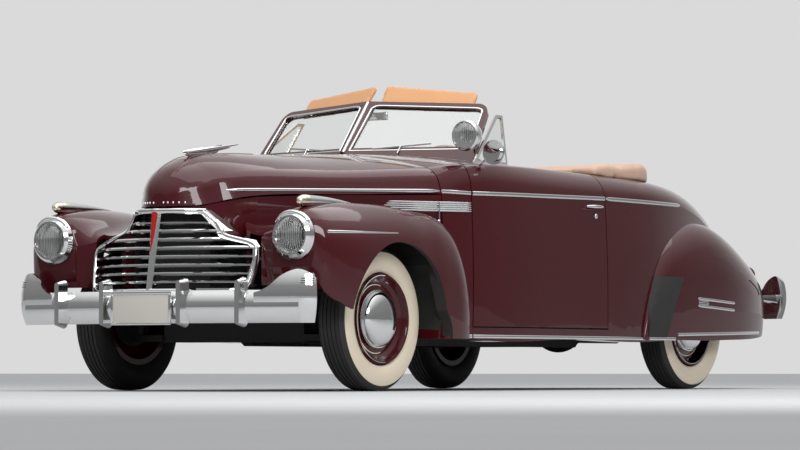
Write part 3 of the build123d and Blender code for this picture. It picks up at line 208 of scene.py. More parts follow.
NODE_FINISH = {
    PAINT: (
        "cowl", "hood", "hood_sides", "nose_panel", "front_fenders", "rear_fenders", "fender_skirts",
        "door_left", "door_right", "rear_body", "trunk_lid", "sills", "dashboard", "wheel_front_left",
        "wheel_front_right", "wheel_rear_left", "wheel_rear_right", "steering_column", "windshield_frame",
    ),
    CHROME: (
        "grille", "front_bumper", "rear_bumper", "headlamps", "parking_lamps", "hood_ornament",
        "vent_window_left", "vent_window_right", "spotlight", "side_mirror",
    ),
    BLACK: (
        "chassis_frame", "driveline", "exhaust", "fuel_tank", "front_suspension", "rear_axle",
        "rear_springs", "knuckle_left", "knuckle_right", "radiator", "floor_pan",
    ),
    RUBBER: ("tyre_front_left", "tyre_front_right", "tyre_rear_left", "tyre_rear_right"),
    ENGINE: ("engine",),
    GLASS: ("windshield_glass", "vent_glass_left", "vent_glass_right"),
    LENS: ("headlamp_lenses",),
    RED_LENS: ("tail_lamps",),
    HIDE: ("front_seat", "rear_seat", "sun_visors"),
    CANVAS: ("top_boot",),
    IVORY: ("steering_wheel",),
}
for finish, names in NODE_FINISH.items():
    for name in names:
        nodes[name].data.materials.clear()
        nodes[name].data.materials.append(finish)

# Painted shade: the inward faces inside the wheel arches are given chassis black, so they stay dark
for name, low_x, high_x in (("front_fenders", 1.05, 2.25), ("rear_fenders", -2.05, -0.75)):
    mesh = nodes[name].data
    mesh.materials.append(BLACK)
    for face in mesh.polygons:
        outward = face.normal.y * math.copysign(1.0, face.center.y)
        if outward < 0.2 and face.normal.z < 0.1 and low_x < face.center.x < high_x:
            face.material_index = 1

# Helpers for added pieces


def deselect():
    """Leaves nothing selected, in object mode."""
    if bpy.context.mode != "OBJECT":
        bpy.ops.object.mode_set(mode="OBJECT")
    bpy.ops.object.select_all(action="DESELECT")


def settle(name, finish, body, angle=40.0):
    """Names the active piece, gives it its finish and smooth shading, and lets it ride on a body."""
    piece = bpy.context.object
    piece.name = name
    piece.data.name = name
    piece.data.materials.clear()
    piece.data.materials.append(finish)
    bpy.ops.object.shade_smooth_by_angle(angle=math.radians(angle))
    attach(piece, body)
    return piece


def moulding(name, points, tall, thick, finish, body="car", tips=1.0):
    """Strip or tube along points, tall and thick, with its ends drawn in or, by two numbers, tapered."""
    deselect()
    bpy.ops.curve.primitive_nurbs_path_add(location=(0.0, 0.0, 0.0))
    curve = bpy.context.object.data
    curve.splines.clear()
    spline = curve.splines.new("NURBS")
    spline.points.add(len(points) - 1)
    last = len(points) - 1
    for i, place in enumerate(points):
        spline.points[i].co = (*place, 1.0)
        if isinstance(tips, tuple):
            spline.points[i].radius = tips[0] + (tips[1] - tips[0]) * i / last
        else:
            spline.points[i].radius = tips if i in (0, last) else 1.0
    spline.use_endpoint_u = True
    spline.order_u = 3
    curve.dimensions = "3D"
    curve.twist_mode = "Z_UP"
    curve.resolution_u = 4
    curve.extrude = max(0.0, (tall - thick) / 2)
    curve.bevel_depth = thick / 2
    curve.bevel_resolution = 3
    curve.use_fill_caps = True
    bpy.ops.object.convert(target="MESH")
    return settle(name, finish, body, 60.0)


def lathe(name, profile, finish, steps=72):
    """Turned piece about the Y axis at the origin, from (radius, outward) points."""
    deselect()
    bpy.ops.mesh.primitive_plane_add(size=0.01)
    bpy.ops.object.mode_set(mode="EDIT")
    bpy.ops.mesh.select_all(action="SELECT")
    bpy.ops.mesh.merge(type="CENTER")
    radius, out = profile[0]
    bpy.ops.transform.translate(value=(radius, out, 0.0))
    for (r0, h0), (r1, h1) in zip(profile, profile[1:]):
        bpy.ops.mesh.extrude_vertices_move(TRANSFORM_OT_translate={"value": (r1 - r0, h1 - h0, 0.0)})
    bpy.ops.mesh.select_all(action="SELECT")
    bpy.ops.mesh.spin(steps=steps, angle=2 * math.pi, center=(0, 0, 0), axis=(0, 1, 0))
    bpy.ops.mesh.select_all(action="SELECT")
    bpy.ops.mesh.remove_doubles(threshold=0.00005)
    bpy.ops.mesh.normals_make_consistent(inside=False)
    bpy.ops.object.mode_set(mode="OBJECT")
    piece = bpy.context.object
    piece.name = name
    piece.data.materials.append(finish)
    bpy.ops.object.shade_smooth_by_angle(angle=math.radians(35))
    return piece


def placed(model, name, place, outward, body):
    """Copy of a turned piece with its own mesh, moved to a place with its axis turned outward."""
    piece = model.copy()
    piece.data = model.data.copy()
    piece.name = name
    turn = Vector((0, 1, 0)).rotation_difference(Vector(outward)).to_matrix().to_4x4()
    piece.data.transform(Matrix.Translation(Vector(place)) @ turn)
    bpy.context.scene.collection.objects.link(piece)
    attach(piece, body)
    return piece


def block(name, low, high, finish, body="car", edge=0.004):
    """Plate or block between two corners, with rounded edges."""
    deselect()
    middle = [(a + b) / 2 for a, b in zip(low, high)]
    bpy.ops.mesh.primitive_cube_add(size=1.0, location=middle)
    bpy.context.object.scale = [b - a for a, b in zip(low, high)]
    bpy.ops.object.transform_apply(location=True, rotation=True, scale=True)
    bevel = bpy.context.object.modifiers.new("edge", "BEVEL")
    bevel.width = edge
    bevel.segments = 3
    bpy.ops.object.modifier_apply(modifier="edge")
    return settle(name, finish, body)


def egg(name, place, radii, finish, body="car", pitch=0.0):
    """Smooth ellipsoid that tapers to the rear, pitched about the Y axis."""
    deselect()
    bpy.ops.mesh.primitive_uv_sphere_add(segments=40, ring_count=20, radius=1.0)
    turn = Matrix.Rotation(math.radians(pitch), 4, "Y")
    shape = Matrix.Diagonal((*radii, 1.0))
    for vertex in bpy.context.object.data.vertices:
        slim = 1.0 - 0.25 * max(0.0, -vertex.co.x)
        slimmed = Vector((vertex.co.x, vertex.co.y * slim, vertex.co.z * slim))
        vertex.co = Vector(place) + turn @ (shape @ slimmed)
    return settle(name, finish, body, 60.0)


def skin(names, x, z, side):
    """Outermost point of those nodes, seen from one side, at a place along the car and a height."""
    found = None
    for name in names:
        hit, place, normal, face = nodes[name].ray_cast((x, side * 2.0, z), (0.0, -side, 0.0))
        if hit and (found is None or side * place.y > side * found.y):
            found = place
    return found


def above(names, x, y):
    """Highest point of those nodes at a place in plan."""
    found = None
    for name in names:
        hit, place, normal, face = nodes[name].ray_cast((x, y, 3.0), (0.0, 0.0, -1.0))
        if hit and (found is None or place.z > found.z):
            found = place
    return found


def ahead(names, y, z):
    """Foremost point of those nodes in the front view."""
    found = None
    for name in names:
        hit, place, normal, face = nodes[name].ray_cast((4.0, y, z), (-1.0, 0.0, 0.0))
        if hit and (found is None or place.x > found.x):
            found = place
    return found


def along_side(names, start, end, side, count=24, out=0.0):
    """Points on the skin between two (x, z) places, pushed out a little."""
    points = []
    for i in range(count):
        share = i / (count - 1)
        place = skin(names, *(a + (b - a) * share for a, b in zip(start, end)), side)
        if place is not None:
            points.append(place + Vector((0.0, side * out, 0.0)))
    return points


SIDES = ((1, "left"), (-1, "right"))
AXLES = {joint["name"]: joint for joint in frame["joints"]}

# Further finishes


def pleated(name, colour, deep, pitch):
    """Hide sewn in upright channels across the car, with painted shade darker in the channels and lighter on
    the crowns between them.
    """
    made = Finish(name, Specular_IOR_Level=0.4, Sheen_Weight=0.1)
    pleat_shade = made.math_wave(pitch)
    cloud = made.noise(6.0, 4.0)
    # Painted shade: the colour darkens in the channels between the pleats, on the same wave as the sewn
    # pleats
    made.feed(Base_Color=made.mix(cloud * 0.5 + pleat_shade * 0.4, rgb(*deep), rgb(*colour)))
    made.feed(Roughness=0.5 + cloud * 0.15)
    made.bump(made.noise(320.0, 3.0), 0.0006, 0.5)
    return made.material


SEAT_HIDE = pleated("pleated_hide", (0.50, 0.28, 0.15), (0.36, 0.18, 0.09), 0.055)
WHITEWALL = enamel("cream_whitewall", (0.84, 0.74, 0.59), (0.79, 0.69, 0.54), 0.5)
PLATE = enamel("blank_plate", (0.62, 0.60, 0.55), (0.58, 0.56, 0.51), 0.4)
SPEAR_RED = enamel("red_enamel", (0.42, 0.012, 0.012), (0.36, 0.01, 0.01), 0.2)
AMBER = clear_glass("amber_glass", (0.88, 0.80, 0.62), 0.05)
VISOR_CLOTH = leather("visor_cloth", (0.72, 0.37, 0.17), (0.65, 0.32, 0.14), 600.0)

# Tyres with whitewalls, trim rings, pinstripes and hubcaps
TYRE_R = 0.356
WHITEWALL_R = (0.232, 0.330)
RIBS = (-0.046, -0.023, 0.0, 0.023, 0.046)
RIB_GROOVE = 0.007
rib_profile = []
for middle in RIBS:
    crown = TYRE_R - 0.0025 * (middle / 0.046) ** 2
    rib_profile += [
        (crown - RIB_GROOVE, middle - 0.0098), (crown - 0.0006, middle - 0.0085),
        (crown - 0.0006, middle + 0.0085), (crown - RIB_GROOVE, middle + 0.0098),
    ]
tyre_model = lathe(
    "tyre_model",
    [(0.226, -0.060), (0.250, -0.077), (0.290, -0.085), (0.325, -0.080), (0.344, -0.067), (0.3525, -0.058)]
    + rib_profile
    + [(0.3525, 0.058), (0.344, 0.067), (0.336, 0.0745), (0.3305, 0.0785), (0.3295, 0.0805), (0.310, 0.0850)]
    + [(0.285, 0.0862), (0.258, 0.0815), (0.238, 0.0735), (0.230, 0.0660), (0.226, 0.060), (0.226, -0.060)],
    RUBBER,
    96,
)
tyre_model.data.materials.append(WHITEWALL)
for face in tyre_model.data.polygons:
    radius = math.hypot(face.center.x, face.center.z)
    if face.center.y > 0.05 and WHITEWALL_R[0] < radius < WHITEWALL_R[1]:
        face.material_index = 1
trim_model = lathe(
    "trim_model",
    [(0.183, 0.036), (0.190, 0.046), (0.202, 0.060), (0.212, 0.0775), (0.2165, 0.0785), (0.217, 0.074)],
    CHROME,
)
stripe_model = lathe(
    "stripe_model",
    [(0.167, 0.0385), (0.1675, 0.0402), (0.1715, 0.0396), (0.172, 0.0378)],
    WHITEWALL,
)
CAP_R = 0.1395
cap_profile = [(0.146, 0.042), (0.147, 0.050), (0.1435, 0.0585), (CAP_R, 0.0592)]
for i in range(1, 12):
    tilt = math.radians(90.0 * i / 12)
    cap_profile.append((CAP_R * math.cos(tilt) * 0.985, 0.0600 + 0.0510 * math.sin(tilt) ** 0.8))
cap_model = lathe("cap_model", cap_profile + [(0.004, 0.1111), (0.0, 0.1111)], CHROME)
WHEEL_DRESS = {"tyre": tyre_model, "trim_ring": trim_model, "pinstripe": stripe_model, "hubcap": cap_model}
for corner in ("front_left", "front_right", "rear_left", "rear_right"):
    hub = AXLES["spin_" + corner]
    outward = Vector((0.0, math.copysign(1.0, hub["pos_m"][1]), 0.0))
    for kind, model in WHEEL_DRESS.items():
        piece = placed(model, "%s_%s_dressed" % (kind, corner), hub["pos_m"], outward, "wheel_" + corner)
        if kind == "tyre":
            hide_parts("tyre_" + corner)
for model in WHEEL_DRESS.values():
    bpy.data.objects.remove(model)

# Grille surround, enamel spear on the ridge, blank plate, and black strips of painted shade along the
# bumper's grooves
RIM_LINE = (
    # y, z along the middle of the surround, from the foot to the top
    (0.40, 0.488), (0.452, 0.495), (0.470, 0.525), (0.487, 0.60), (0.486, 0.69), (0.470, 0.712),
    (0.430, 0.729), (0.384, 0.741), (0.330, 0.756), (0.292, 0.780), (0.262, 0.812), (0.235, 0.845),
    (0.203, 0.875),
)
for side, hand in SIDES:
    rim = [ahead(["grille"], side * y, z) for y, z in RIM_LINE]
    moulding("grille_rim_" + hand, [p for p in rim if p is not None], 0.024, 0.018, CHROME)
GRILLE_ENDS_Y = 0.21
for name, z in (("grille_cap", 0.880), ("grille_foot", 0.486)):
    places = [ahead(["grille"], GRILLE_ENDS_Y * (i / 10 - 1), z) for i in range(21)]
    moulding(name, [p for p in places if p is not None], 0.026, 0.018, CHROME)
SPEAR_TOP_Z = 0.872
SPEAR_LENGTH = 0.21
spear = [ahead(["grille"], 0.0, SPEAR_TOP_Z - SPEAR_LENGTH * i / 8) for i in range(9)]
moulding("grille_spear", [p - Vector((0.006, 0, 0)) for p in spear], 0.034, 0.034, SPEAR_RED, tips=(1.0, 0.3))
PLATE_HALF = 0.168
PLATE_Z = (0.334, 0.470)
plate_x = ahead(["front_bumper"], 0.0, 0.40).x + 0.006
PLATE_T = 0.004
plate_low = (plate_x, -PLATE_HALF, PLATE_Z[0])
plate_high = (plate_x + PLATE_T, PLATE_HALF, PLATE_Z[1])
block("plate_front", plate_low, plate_high, PLATE, edge=0.002)
FRAME_W = 0.012
FRAME_HEAD = 0.016
for name, low, high in (
    ("foot", (-PLATE_HALF - FRAME_W, PLATE_Z[0] - FRAME_W), (PLATE_HALF + FRAME_W, PLATE_Z[0])),
    ("head", (-PLATE_HALF - FRAME_W, PLATE_Z[1]), (PLATE_HALF + FRAME_W, PLATE_Z[1] + FRAME_HEAD)),
    ("left", (PLATE_HALF, PLATE_Z[0]), (PLATE_HALF + FRAME_W, PLATE_Z[1])),
    ("right", (-PLATE_HALF - FRAME_W, PLATE_Z[0]), (-PLATE_HALF, PLATE_Z[1])),
):
    block("plate_frame_" + name, (plate_x - 0.004, *low), (plate_x + 0.008, *high), CHROME, edge=0.003)
# Painted shade: thin black strips are laid on the chrome where the bumper's grooves are
GROOVE_Z = 0.520
GROOVE_PITCH = 0.011
GROOVE_Y = 0.835
for side, hand in SIDES:
    for i in range(3):
        z = GROOVE_Z + GROOVE_PITCH * i
        groove = [ahead(["front_bumper"], side * (GROOVE_Y + 0.01 * k), z) for k in range(6)]
        groove = [p for p in groove if p is not None]
        moulding("bumper_groove_shade_%s_%d" % (hand, i), groove, 0.004, 0.003, BLACK)

# Side mouldings: belt, sill, fender spear, vent trim and skirt bars
MOULDINGS = (
    # name, nodes, body, start (x, z), end (x, z), tall, thick, drawn-in tips
    ("belt_hood", ("hood",), "hood", (2.290, 0.986), (1.150, 1.013), 0.018, 0.012, 0.3),
    ("belt_cowl", ("cowl",), "car", (1.137, 1.011), (0.955, 1.0075), 0.020, 0.012, 1.0),
    ("belt_door", ("door",), "door", (0.942, 1.007), (-0.282, 1.023), 0.022, 0.012, 1.0),
    ("belt_quarter", ("rear_body",), "car", (-0.296, 1.023), (-1.190, 1.019), 0.022, 0.012, 0.3),
    ("sill_strip", ("sills", "rear_body"), "car", (0.948, 0.276), (-0.690, 0.276), 0.020, 0.012, 1.0),
    ("cowl_strip", ("cowl",), "car", (1.105, 0.276), (0.956, 0.276), 0.020, 0.012, 1.0),
    ("fender_spear", ("front_fenders",), "car", (2.345, 0.768), (1.800, 0.776), 0.016, 0.012, (1.0, 0.35)),
    ("skirt_strip", ("fender_skirts",), "car", (-0.975, 0.300), (-2.050, 0.320), 0.018, 0.010, 1.0),
    ("skirt_bar_high", ("fender_skirts",), "car", (-1.190, 0.502), (-1.640, 0.482), 0.016, 0.010, 0.3),
    ("skirt_bar_low", ("fender_skirts",), "car", (-1.190, 0.462), (-1.640, 0.442), 0.016, 0.010, 0.3),
)
for name, owners, body, start, end, tall, thick, tips in MOULDINGS:
    for side, hand in SIDES:
        own = [owner + "_" + hand if owner == "door" else owner for owner in owners]
        rider = "door_" + hand if body == "door" else body
        path = along_side(own, start, end, side, 28)
        moulding("%s_%s" % (name, hand), path, tall, thick, CHROME, rider, tips)

# Aerial on the left, ribs between the skirt bars, vent ribs, door handles and locks
AERIAL_X = 1.167
AERIAL_TOP_Z = 0.955
AERIAL_OUT = 0.012
aerial_top = skin(["hood_sides", "front_fenders"], AERIAL_X, AERIAL_TOP_Z, 1) + Vector((0, AERIAL_OUT, 0))
aerial_rod = [aerial_top] + [Vector((AERIAL_X, aerial_top.y, z)) for z in (0.91, 0.862)]
moulding("aerial_rod", aerial_rod, 0.006, 0.006, CHROME)
egg("aerial_base", Vector((AERIAL_X, aerial_top.y - 0.004, 0.860)), (0.010, 0.010, 0.008), CHROME)
SKIRT_RIB_Z = 0.4735
SKIRT_RIB_PITCH = 0.0085
for side, hand in SIDES:
    for i in range(3):
        z = SKIRT_RIB_Z + SKIRT_RIB_PITCH * i
        path = along_side(["fender_skirts"], (-1.195, z), (-1.310, z - 0.005), side, 6)
        moulding("skirt_rib_%s_%d" % (hand, i), path, 0.005, 0.005, CHROME)
VENT_RIBS = 5
VENT_Z = 0.910
VENT_PITCH = 0.0105
VENT_X = (1.475, 0.958)
VENT_OWNERS = ("hood_sides", "cowl", "front_fenders")
for side, hand in SIDES:
    for i in range(VENT_RIBS):
        z = VENT_Z + VENT_PITCH * i
        front_end = (VENT_X[0] - 0.012 * abs(i - 2), z)
        path = along_side(VENT_OWNERS, front_end, (VENT_X[1], z + 0.004), side, 20, 0.004)
        moulding("vent_rib_%s_%d" % (hand, i), path, 0.0095, 0.009, CHROME, tips=0.4)
HANDLE_ENDS = ((-0.080, 0.975), (-0.215, 0.975))
HANDLE_LIFTS = (0.012, 0.034, 0.038, 0.038, 0.030)
LOCK_AT = (-0.190, 0.925)
for side, hand in SIDES:
    handle = along_side(["door_" + hand], *HANDLE_ENDS, side, len(HANDLE_LIFTS))
    handle = [place + Vector((0, side * lift, 0)) for place, lift in zip(handle, HANDLE_LIFTS)]
    moulding("door_handle_" + hand, handle, 0.018, 0.014, CHROME, "door_" + hand, 0.6)
    lock = skin(["door_" + hand], *LOCK_AT, side)
    egg("door_lock_" + hand, lock, (0.014, 0.007, 0.014), CHROME, "door_" + hand)

# Black rubber stone guards on the fronts of the rear fenders
GUARD_ROWS = 12
GUARD_COLUMNS = 9
GUARD_LEAST_Y = 0.80


def stone_guard(side, hand):
    """Sheet of rubber laid on the fender between its front edge and a slanted line."""
    deselect()
    bpy.ops.mesh.primitive_grid_add(x_subdivisions=GUARD_COLUMNS, y_subdivisions=GUARD_ROWS, size=2.0)
    for vertex in bpy.context.object.data.vertices:
        across = (vertex.co.x + 1) / 2
        up = (vertex.co.y + 1) / 2
        z = 0.288 + 0.330 * up
        front = -0.695 - 0.060 * up**1.6
        x = front - (0.170 + 0.110 * up) * across
        place = skin(["rear_fenders"], x, z, side)
        while place is None or side * place.y < GUARD_LEAST_Y:
            x -= 0.004
            place = skin(["rear_fenders"], x, z, side)
        vertex.co = place + Vector((0, side * 0.002, 0))
    thick = bpy.context.object.modifiers.new("thick", "SOLIDIFY")
    thick.thickness = 0.004
    thick.offset = 0.0
    bpy.ops.object.modifier_apply(modifier="thick")
    bpy.ops.object.mode_set(mode="EDIT")
    bpy.ops.mesh.select_all(action="SELECT")
    bpy.ops.mesh.normals_make_consistent(inside=False)
    bpy.ops.object.mode_set(mode="OBJECT")
    settle("stone_guard_" + hand, RUBBER, "car")
    path = along_side(["rear_fenders"], (-0.700, 0.276), (-0.950, 0.276), side, 12)
    moulding("guard_strip_" + hand, path, 0.018, 0.010, CHROME)


for side, hand in SIDES:
    stone_guard(side, hand)

# Hood: creases, studs over the lip and the ornament
CREASE_X = (1.800, 2.460)
CREASE_Y = (0.075, 0.055)
CREASE_POINTS = 31
STUD_Y = 0.030
STUD_PITCH = 0.024
STUD_Z = 0.922
for side, hand in SIDES:
    crease = []
    for i in range(CREASE_POINTS):
        share = i / (CREASE_POINTS - 1)
        y = CREASE_Y[0] + (CREASE_Y[1] - CREASE_Y[0]) * share
        crease.append(above(["hood"], CREASE_X[0] + (CREASE_X[1] - CREASE_X[0]) * share, side * y))
    crease = [p - Vector((0.002, 0.0, 0.004)) for p in crease if p is not None]
    moulding("hood_crease_" + hand, crease, 0.016, 0.016, PAINT, "hood", 0.3)
    for i in range(5):
        stud = ahead(["hood"], side * (STUD_Y + STUD_PITCH * i), STUD_Z)
        if stud is not None:
            egg("lip_stud_%s_%d" % (hand, i), stud, (0.005, 0.0055, 0.0055), CHROME, "hood")
ORNAMENT = (2.310, 1.900)
seat_front = above(["hood"], ORNAMENT[0], 0.0)
seat_rear = above(["hood"], ORNAMENT[1], 0.0)
seat = (seat_front + seat_rear) / 2
slope = math.degrees(math.atan2(seat_rear.z - seat_front.z, ORNAMENT[0] - ORNAMENT[1]))
half = (ORNAMENT[0] - ORNAMENT[1]) / 2
ornament = egg("ornament_spine", seat + Vector((0, 0, 0.034)), (half, 0.020, 0.016), CHROME, "hood", slope)
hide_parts("hood_ornament")
egg("ornament_keel", seat + Vector((0.04, 0, 0.018)), (half * 0.7, 0.012, 0.026), CHROME, "hood", slope)
for side, hand in SIDES:
    rise = Vector((0.0, 0.0, 0.036))
    wing = [
        seat_front.lerp(seat_rear, 0.05) + rise + Vector((0, side * 0.010, -0.006)),
        seat_front.lerp(seat_rear, 0.45) + rise + Vector((0, side * 0.040, 0.0)),
        seat_front.lerp(seat_rear, 0.98) + rise + Vector((0, side * 0.050, 0.010)),
    ]
    moulding("ornament_wing_" + hand, wing, 0.020, 0.008, CHROME, "hood", 0.3)

# Lamps: caps over the headlamps, and the lenses of the parking lamps and the spotlight
LAMP = Vector((2.3906, 0.730, 0.752))
CAP_TURN = 62
CAP_RING_R = 0.112
for side, hand in SIDES:
    places = []
    for i in range(13):
        turn = math.radians(CAP_TURN * (i / 6 - 1))
        ahead_of_lamp = 0.036 - 0.016 * abs(i - 6) / 6
        around = Vector((ahead_of_lamp, CAP_RING_R * math.sin(turn), CAP_RING_R * math.cos(turn)))
        places.append(LAMP + around)
    places = [Vector((p.x, side * p.y, p.z)) for p in places]
    moulding("lamp_cap_" + hand, places, 0.022, 0.020, CHROME, tips=0.3)
    egg("parking_lens_" + hand, (2.325, side * 0.745, 0.920), (0.063, 0.0315, 0.0315), AMBER)
lamp_glass = lathe(
    "lamp_glass_model",
    [(0.070, 0.0), (0.0715, 0.004), (0.050, 0.010), (0.025, 0.0135), (0.0, 0.0145)],
    LENS,
)
spot = ahead(["spotlight"], 0.800, 1.303)
placed(lamp_glass, "spotlight_lens", spot + Vector((0.001, 0, 0)), (1, 0, 0), "car")
bpy.data.objects.remove(lamp_glass)

# Windshield: bright beads, centre post, weatherstrip, wipers and inside mirror
SHIELD_FOOT = Vector((0.884, 0.0, 1.232))
SHIELD_RISE = Vector((-0.244, 0.0, 0.283))
SWEEP = math.radians(17.0)
SHIELD_W = 0.712
SHIELD_HEAD_W = 0.738
HEAD_DROP = 0.036
BEAD_IN = 0.030
BEAD_FOOT = 0.012
WIPER_BLADE = ((0.16, 0.018), (0.47, 0.050))
WIPER_ARM = ((0.30, -0.02), (0.31, 0.034))
shield_out = Vector((-math.sin(SWEEP), math.cos(SWEEP), 0.0))
shield_up = SHIELD_RISE - shield_out * SHIELD_RISE.dot(shield_out)
SHIELD_H = shield_up.length
HEAD_SHIFT = SHIELD_RISE.dot(shield_out)
shield_up.normalize()
shield_face = shield_out.cross(shield_up)


def on_shield(side, across, up, out=0.0):
    """Point on one half of the windshield's plane."""
    place = SHIELD_FOOT + shield_out * across + shield_up * up + shield_face * out
    return Vector((place.x, side * place.y, place.z))


def edge_points(corners, side, out):
    """Points along straight runs between corners on the windshield."""
    points = []
    for (a0, u0), (a1, u1) in zip(corners, corners[1:]):
        points += [on_shield(side, a0 + (a1 - a0) * i / 6, u0 + (u1 - u0) * i / 6, out) for i in range(6)]
    return points + [on_shield(side, *corners[-1], out)]


for side, hand in SIDES:
    bead = (
        (BEAD_IN, BEAD_FOOT), (SHIELD_W - BEAD_IN, BEAD_FOOT),
        (SHIELD_HEAD_W - BEAD_IN, SHIELD_H - HEAD_DROP - BEAD_IN),
        (HEAD_SHIFT + BEAD_IN, SHIELD_H - BEAD_IN), (BEAD_IN, BEAD_FOOT),
    )
    moulding("shield_bead_" + hand, edge_points(bead, side, 0.014), 0.012, 0.012, CHROME)
    header = ((HEAD_SHIFT, SHIELD_H), (SHIELD_HEAD_W - 0.05, SHIELD_H - HEAD_DROP + 0.002))
    moulding("header_seal_" + hand, edge_points(header, side, 0.0), 0.018, 0.016, RUBBER)
    moulding("wiper_blade_" + hand, edge_points(WIPER_BLADE, side, 0.022), 0.010, 0.005, CHROME)
    moulding("wiper_arm_" + hand, edge_points(WIPER_ARM, side, 0.026), 0.007, 0.006, CHROME)
post = [on_shield(1, HEAD_SHIFT * t, SHIELD_H * t, 0.016) for t in (0.0, 0.33, 0.66, 0.97)]
moulding("shield_post", post, 0.02, 0.018, CHROME)
block("inside_mirror", (0.585, -0.085, 1.425), (0.600, 0.085, 1.470), CHROME, edge=0.006)

# Soft goods: swollen from the CAD solids
SWELL_FRAMES = 16
PLEAT_PITCH = 0.055
VISOR_FOOT = 0.335
VISOR_STRETCH = 1.30


def plump(node, name, finish, cap, voxel, rounds, pleat=0.0):
    """Copy of a soft CAD solid, remeshed, blown up by cloth pressure and sewn in pleats of that depth."""
    deselect()
    piece = nodes[node].copy()
    piece.data = nodes[node].data.copy()
    piece.parent = None
    piece.name = name
    bpy.context.scene.collection.objects.link(piece)
    piece.select_set(True)
    bpy.context.view_layer.objects.active = piece
    for key in list(piece.keys()):
        del piece[key]
    remesh = piece.modifiers.new("even", "REMESH")
    remesh.mode = "VOXEL"
    remesh.voxel_size = voxel
    bpy.ops.object.modifier_apply(modifier="even")
    soften = piece.modifiers.new("soften", "SMOOTH")
    soften.factor = 0.6
    soften.iterations = rounds
    bpy.ops.object.modifier_apply(modifier="soften")
    swell(piece, cap)
    if pleat:
        fine = piece.modifiers.new("fine", "SUBSURF")
        fine.levels = 1
        bpy.ops.object.modifier_apply(modifier="fine")
        normals = [vertex.normal.copy() for vertex in piece.data.vertices]
        for vertex, normal in zip(piece.data.vertices, normals):
            ridge = abs(math.sin(math.pi * vertex.co.y / PLEAT_PITCH))
            vertex.co += normal * (pleat * (ridge - 1.0) * (1.0 - abs(normal.y)))
    settle(name, finish, "car", 60.0)
    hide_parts(node)
    return piece


def swell(piece, cap):
    """Cloth under pressure for a few frames, each point held within cap of where it began."""
    rest = [vertex.co.copy() for vertex in piece.data.vertices]
    cloth = piece.modifiers.new("cloth", "CLOTH")
    cloth.settings.use_pressure = True
    cloth.settings.uniform_pressure_force = 4.0
    cloth.settings.effector_weights.gravity = 0.0
    cloth.point_cache.frame_end = SWELL_FRAMES
    for step in range(1, SWELL_FRAMES + 1):
        bpy.context.scene.frame_set(step)
    bpy.ops.object.modifier_apply(modifier="cloth")
    for vertex, began in zip(piece.data.vertices, rest):
        move = vertex.co - began
        if move.length > cap:
            vertex.co = began + move * (cap / move.length)
    bpy.context.scene.frame_set(1)


def raise_pads(piece):
    """Draws the visor pads out above the header, along the windshield's slope."""
    for vertex in piece.data.vertices:
        from_foot = Vector((vertex.co.x, abs(vertex.co.y), vertex.co.z)) - SHIELD_FOOT
        extra = (from_foot.dot(shield_up) - VISOR_FOOT) * (VISOR_STRETCH - 1.0)
        move = shield_up * max(0.0, extra)
        vertex.co += Vector((move.x, math.copysign(move.y, vertex.co.y), move.z))


plump("front_seat", "front_seat_hide", SEAT_HIDE, 0.016, 0.014, 6, 0.010)
plump("rear_seat", "rear_seat_hide", SEAT_HIDE, 0.016, 0.014, 6, 0.010)
raise_pads(plump("sun_visors", "visor_pads", VISOR_CLOTH, 0.003, 0.006, 3))
plump("top_boot", "boot_cover", CANVAS, 0.014, 0.010, 5)


# Floor, light and camera
WALL_DIRECTION = (-0.838, -0.546)
WALL_SHADE = 0.70
HALL_SHADE = 0.20
CEILING_SHADE = 1.0


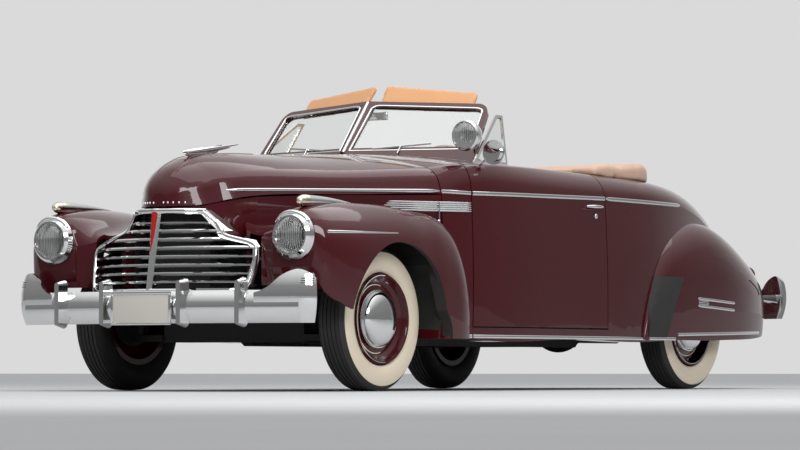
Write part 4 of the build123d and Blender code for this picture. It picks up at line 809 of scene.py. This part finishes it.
def studio():
    """Pale floor, soft light and the photograph's camera."""
    bpy.ops.object.select_all(action="DESELECT")
    bpy.ops.mesh.primitive_plane_add(size=400.0)
    floor = bpy.context.object
    floor.name = "studio_floor"
    ground = Finish("pale_floor", Roughness=0.9)
    ground.feed(Base_Color=ground.mix(ground.noise(1.5), rgb(0.45, 0.455, 0.465), rgb(0.50, 0.505, 0.515)))
    floor.data.materials.append(ground.material)

    world = bpy.data.worlds.new("studio")
    bpy.context.scene.world = world
    world.use_nodes = True
    tree = world.node_tree
    sky = tree.nodes["Background"]
    coordinates = tree.nodes.new("ShaderNodeTexCoord")
    split = tree.nodes.new("ShaderNodeSeparateXYZ")
    height = tree.nodes.new("ShaderNodeValToRGB")
    facing = tree.nodes.new("ShaderNodeVectorMath")
    hall = tree.nodes.new("ShaderNodeMapRange")
    shade = tree.nodes.new("ShaderNodeMix")
    facing.operation = "DOT_PRODUCT"
    facing.inputs[1].default_value = (*WALL_DIRECTION, 0.0)
    shade.data_type = "RGBA"
    tree.links.new(coordinates.outputs["Generated"], split.inputs[0])
    tree.links.new(coordinates.outputs["Generated"], facing.inputs[0])
    tree.links.new(split.outputs["Z"], height.inputs["Fac"])
    tree.links.new(facing.outputs["Value"], hall.inputs["Value"])
    hall.inputs["From Min"].default_value = 0.55
    hall.inputs["From Max"].default_value = 0.92
    stops = height.color_ramp.elements
    stops[0].position, stops[0].color = 0.05, rgb(*[HALL_SHADE] * 3)
    stops[1].position, stops[1].color = 0.75, rgb(*[CEILING_SHADE] * 3)
    middle = stops.new(0.30)
    middle.color = rgb(*[HALL_SHADE * 1.3] * 3)
    shade.inputs[7].default_value = rgb(*[WALL_SHADE] * 3)
    tree.links.new(hall.outputs["Result"], shade.inputs[0])
    tree.links.new(height.outputs["Color"], shade.inputs[6])
    tree.links.new(shade.outputs[2], sky.inputs["Color"])
    sky.inputs["Strength"].default_value = 1.0

    for name, place, aim, size, power in (
        ("overhead", (0.0, 1.0, 6.0), (0.0, 0.0, 0.5), (9.0, 5.0), 190.0),
        ("front_left", (8.0, 7.0, 5.0), (0.5, 0.0, 0.7), (5.0, 3.0), 420.0),
    ):
        light = bpy.data.lights.new(name, "AREA")
        light.shape = "RECTANGLE"
        light.size, light.size_y = size
        light.energy = power
        lamp = bpy.data.objects.new(name, light)
        lamp.location = place
        lamp.rotation_mode = "QUATERNION"
        lamp.rotation_quaternion = (Vector(aim) - Vector(place)).to_track_quat("-Z", "Y")
        bpy.context.scene.collection.objects.link(lamp)

    lens = bpy.data.cameras.new("photo_camera")
    lens.sensor_width = SENSOR_MM
    lens.lens = FOCAL_PX * SENSOR_MM / IMAGE_W
    lens.clip_end = 1000.0
    camera = bpy.data.objects.new("photo_camera", lens)
    yaw = math.radians(CAMERA_YAW)
    pitch = math.radians(CAMERA_PITCH)
    aim = Vector((math.cos(pitch) * math.cos(yaw), math.cos(pitch) * math.sin(yaw), math.sin(pitch)))
    camera.location = CAMERA_AT
    camera.rotation_mode = "QUATERNION"
    camera.rotation_quaternion = aim.to_track_quat("-Z", "Y")
    bpy.context.scene.collection.objects.link(camera)
    bpy.context.scene.camera = camera
    bpy.context.scene.view_settings.view_transform = "Standard"


studio()
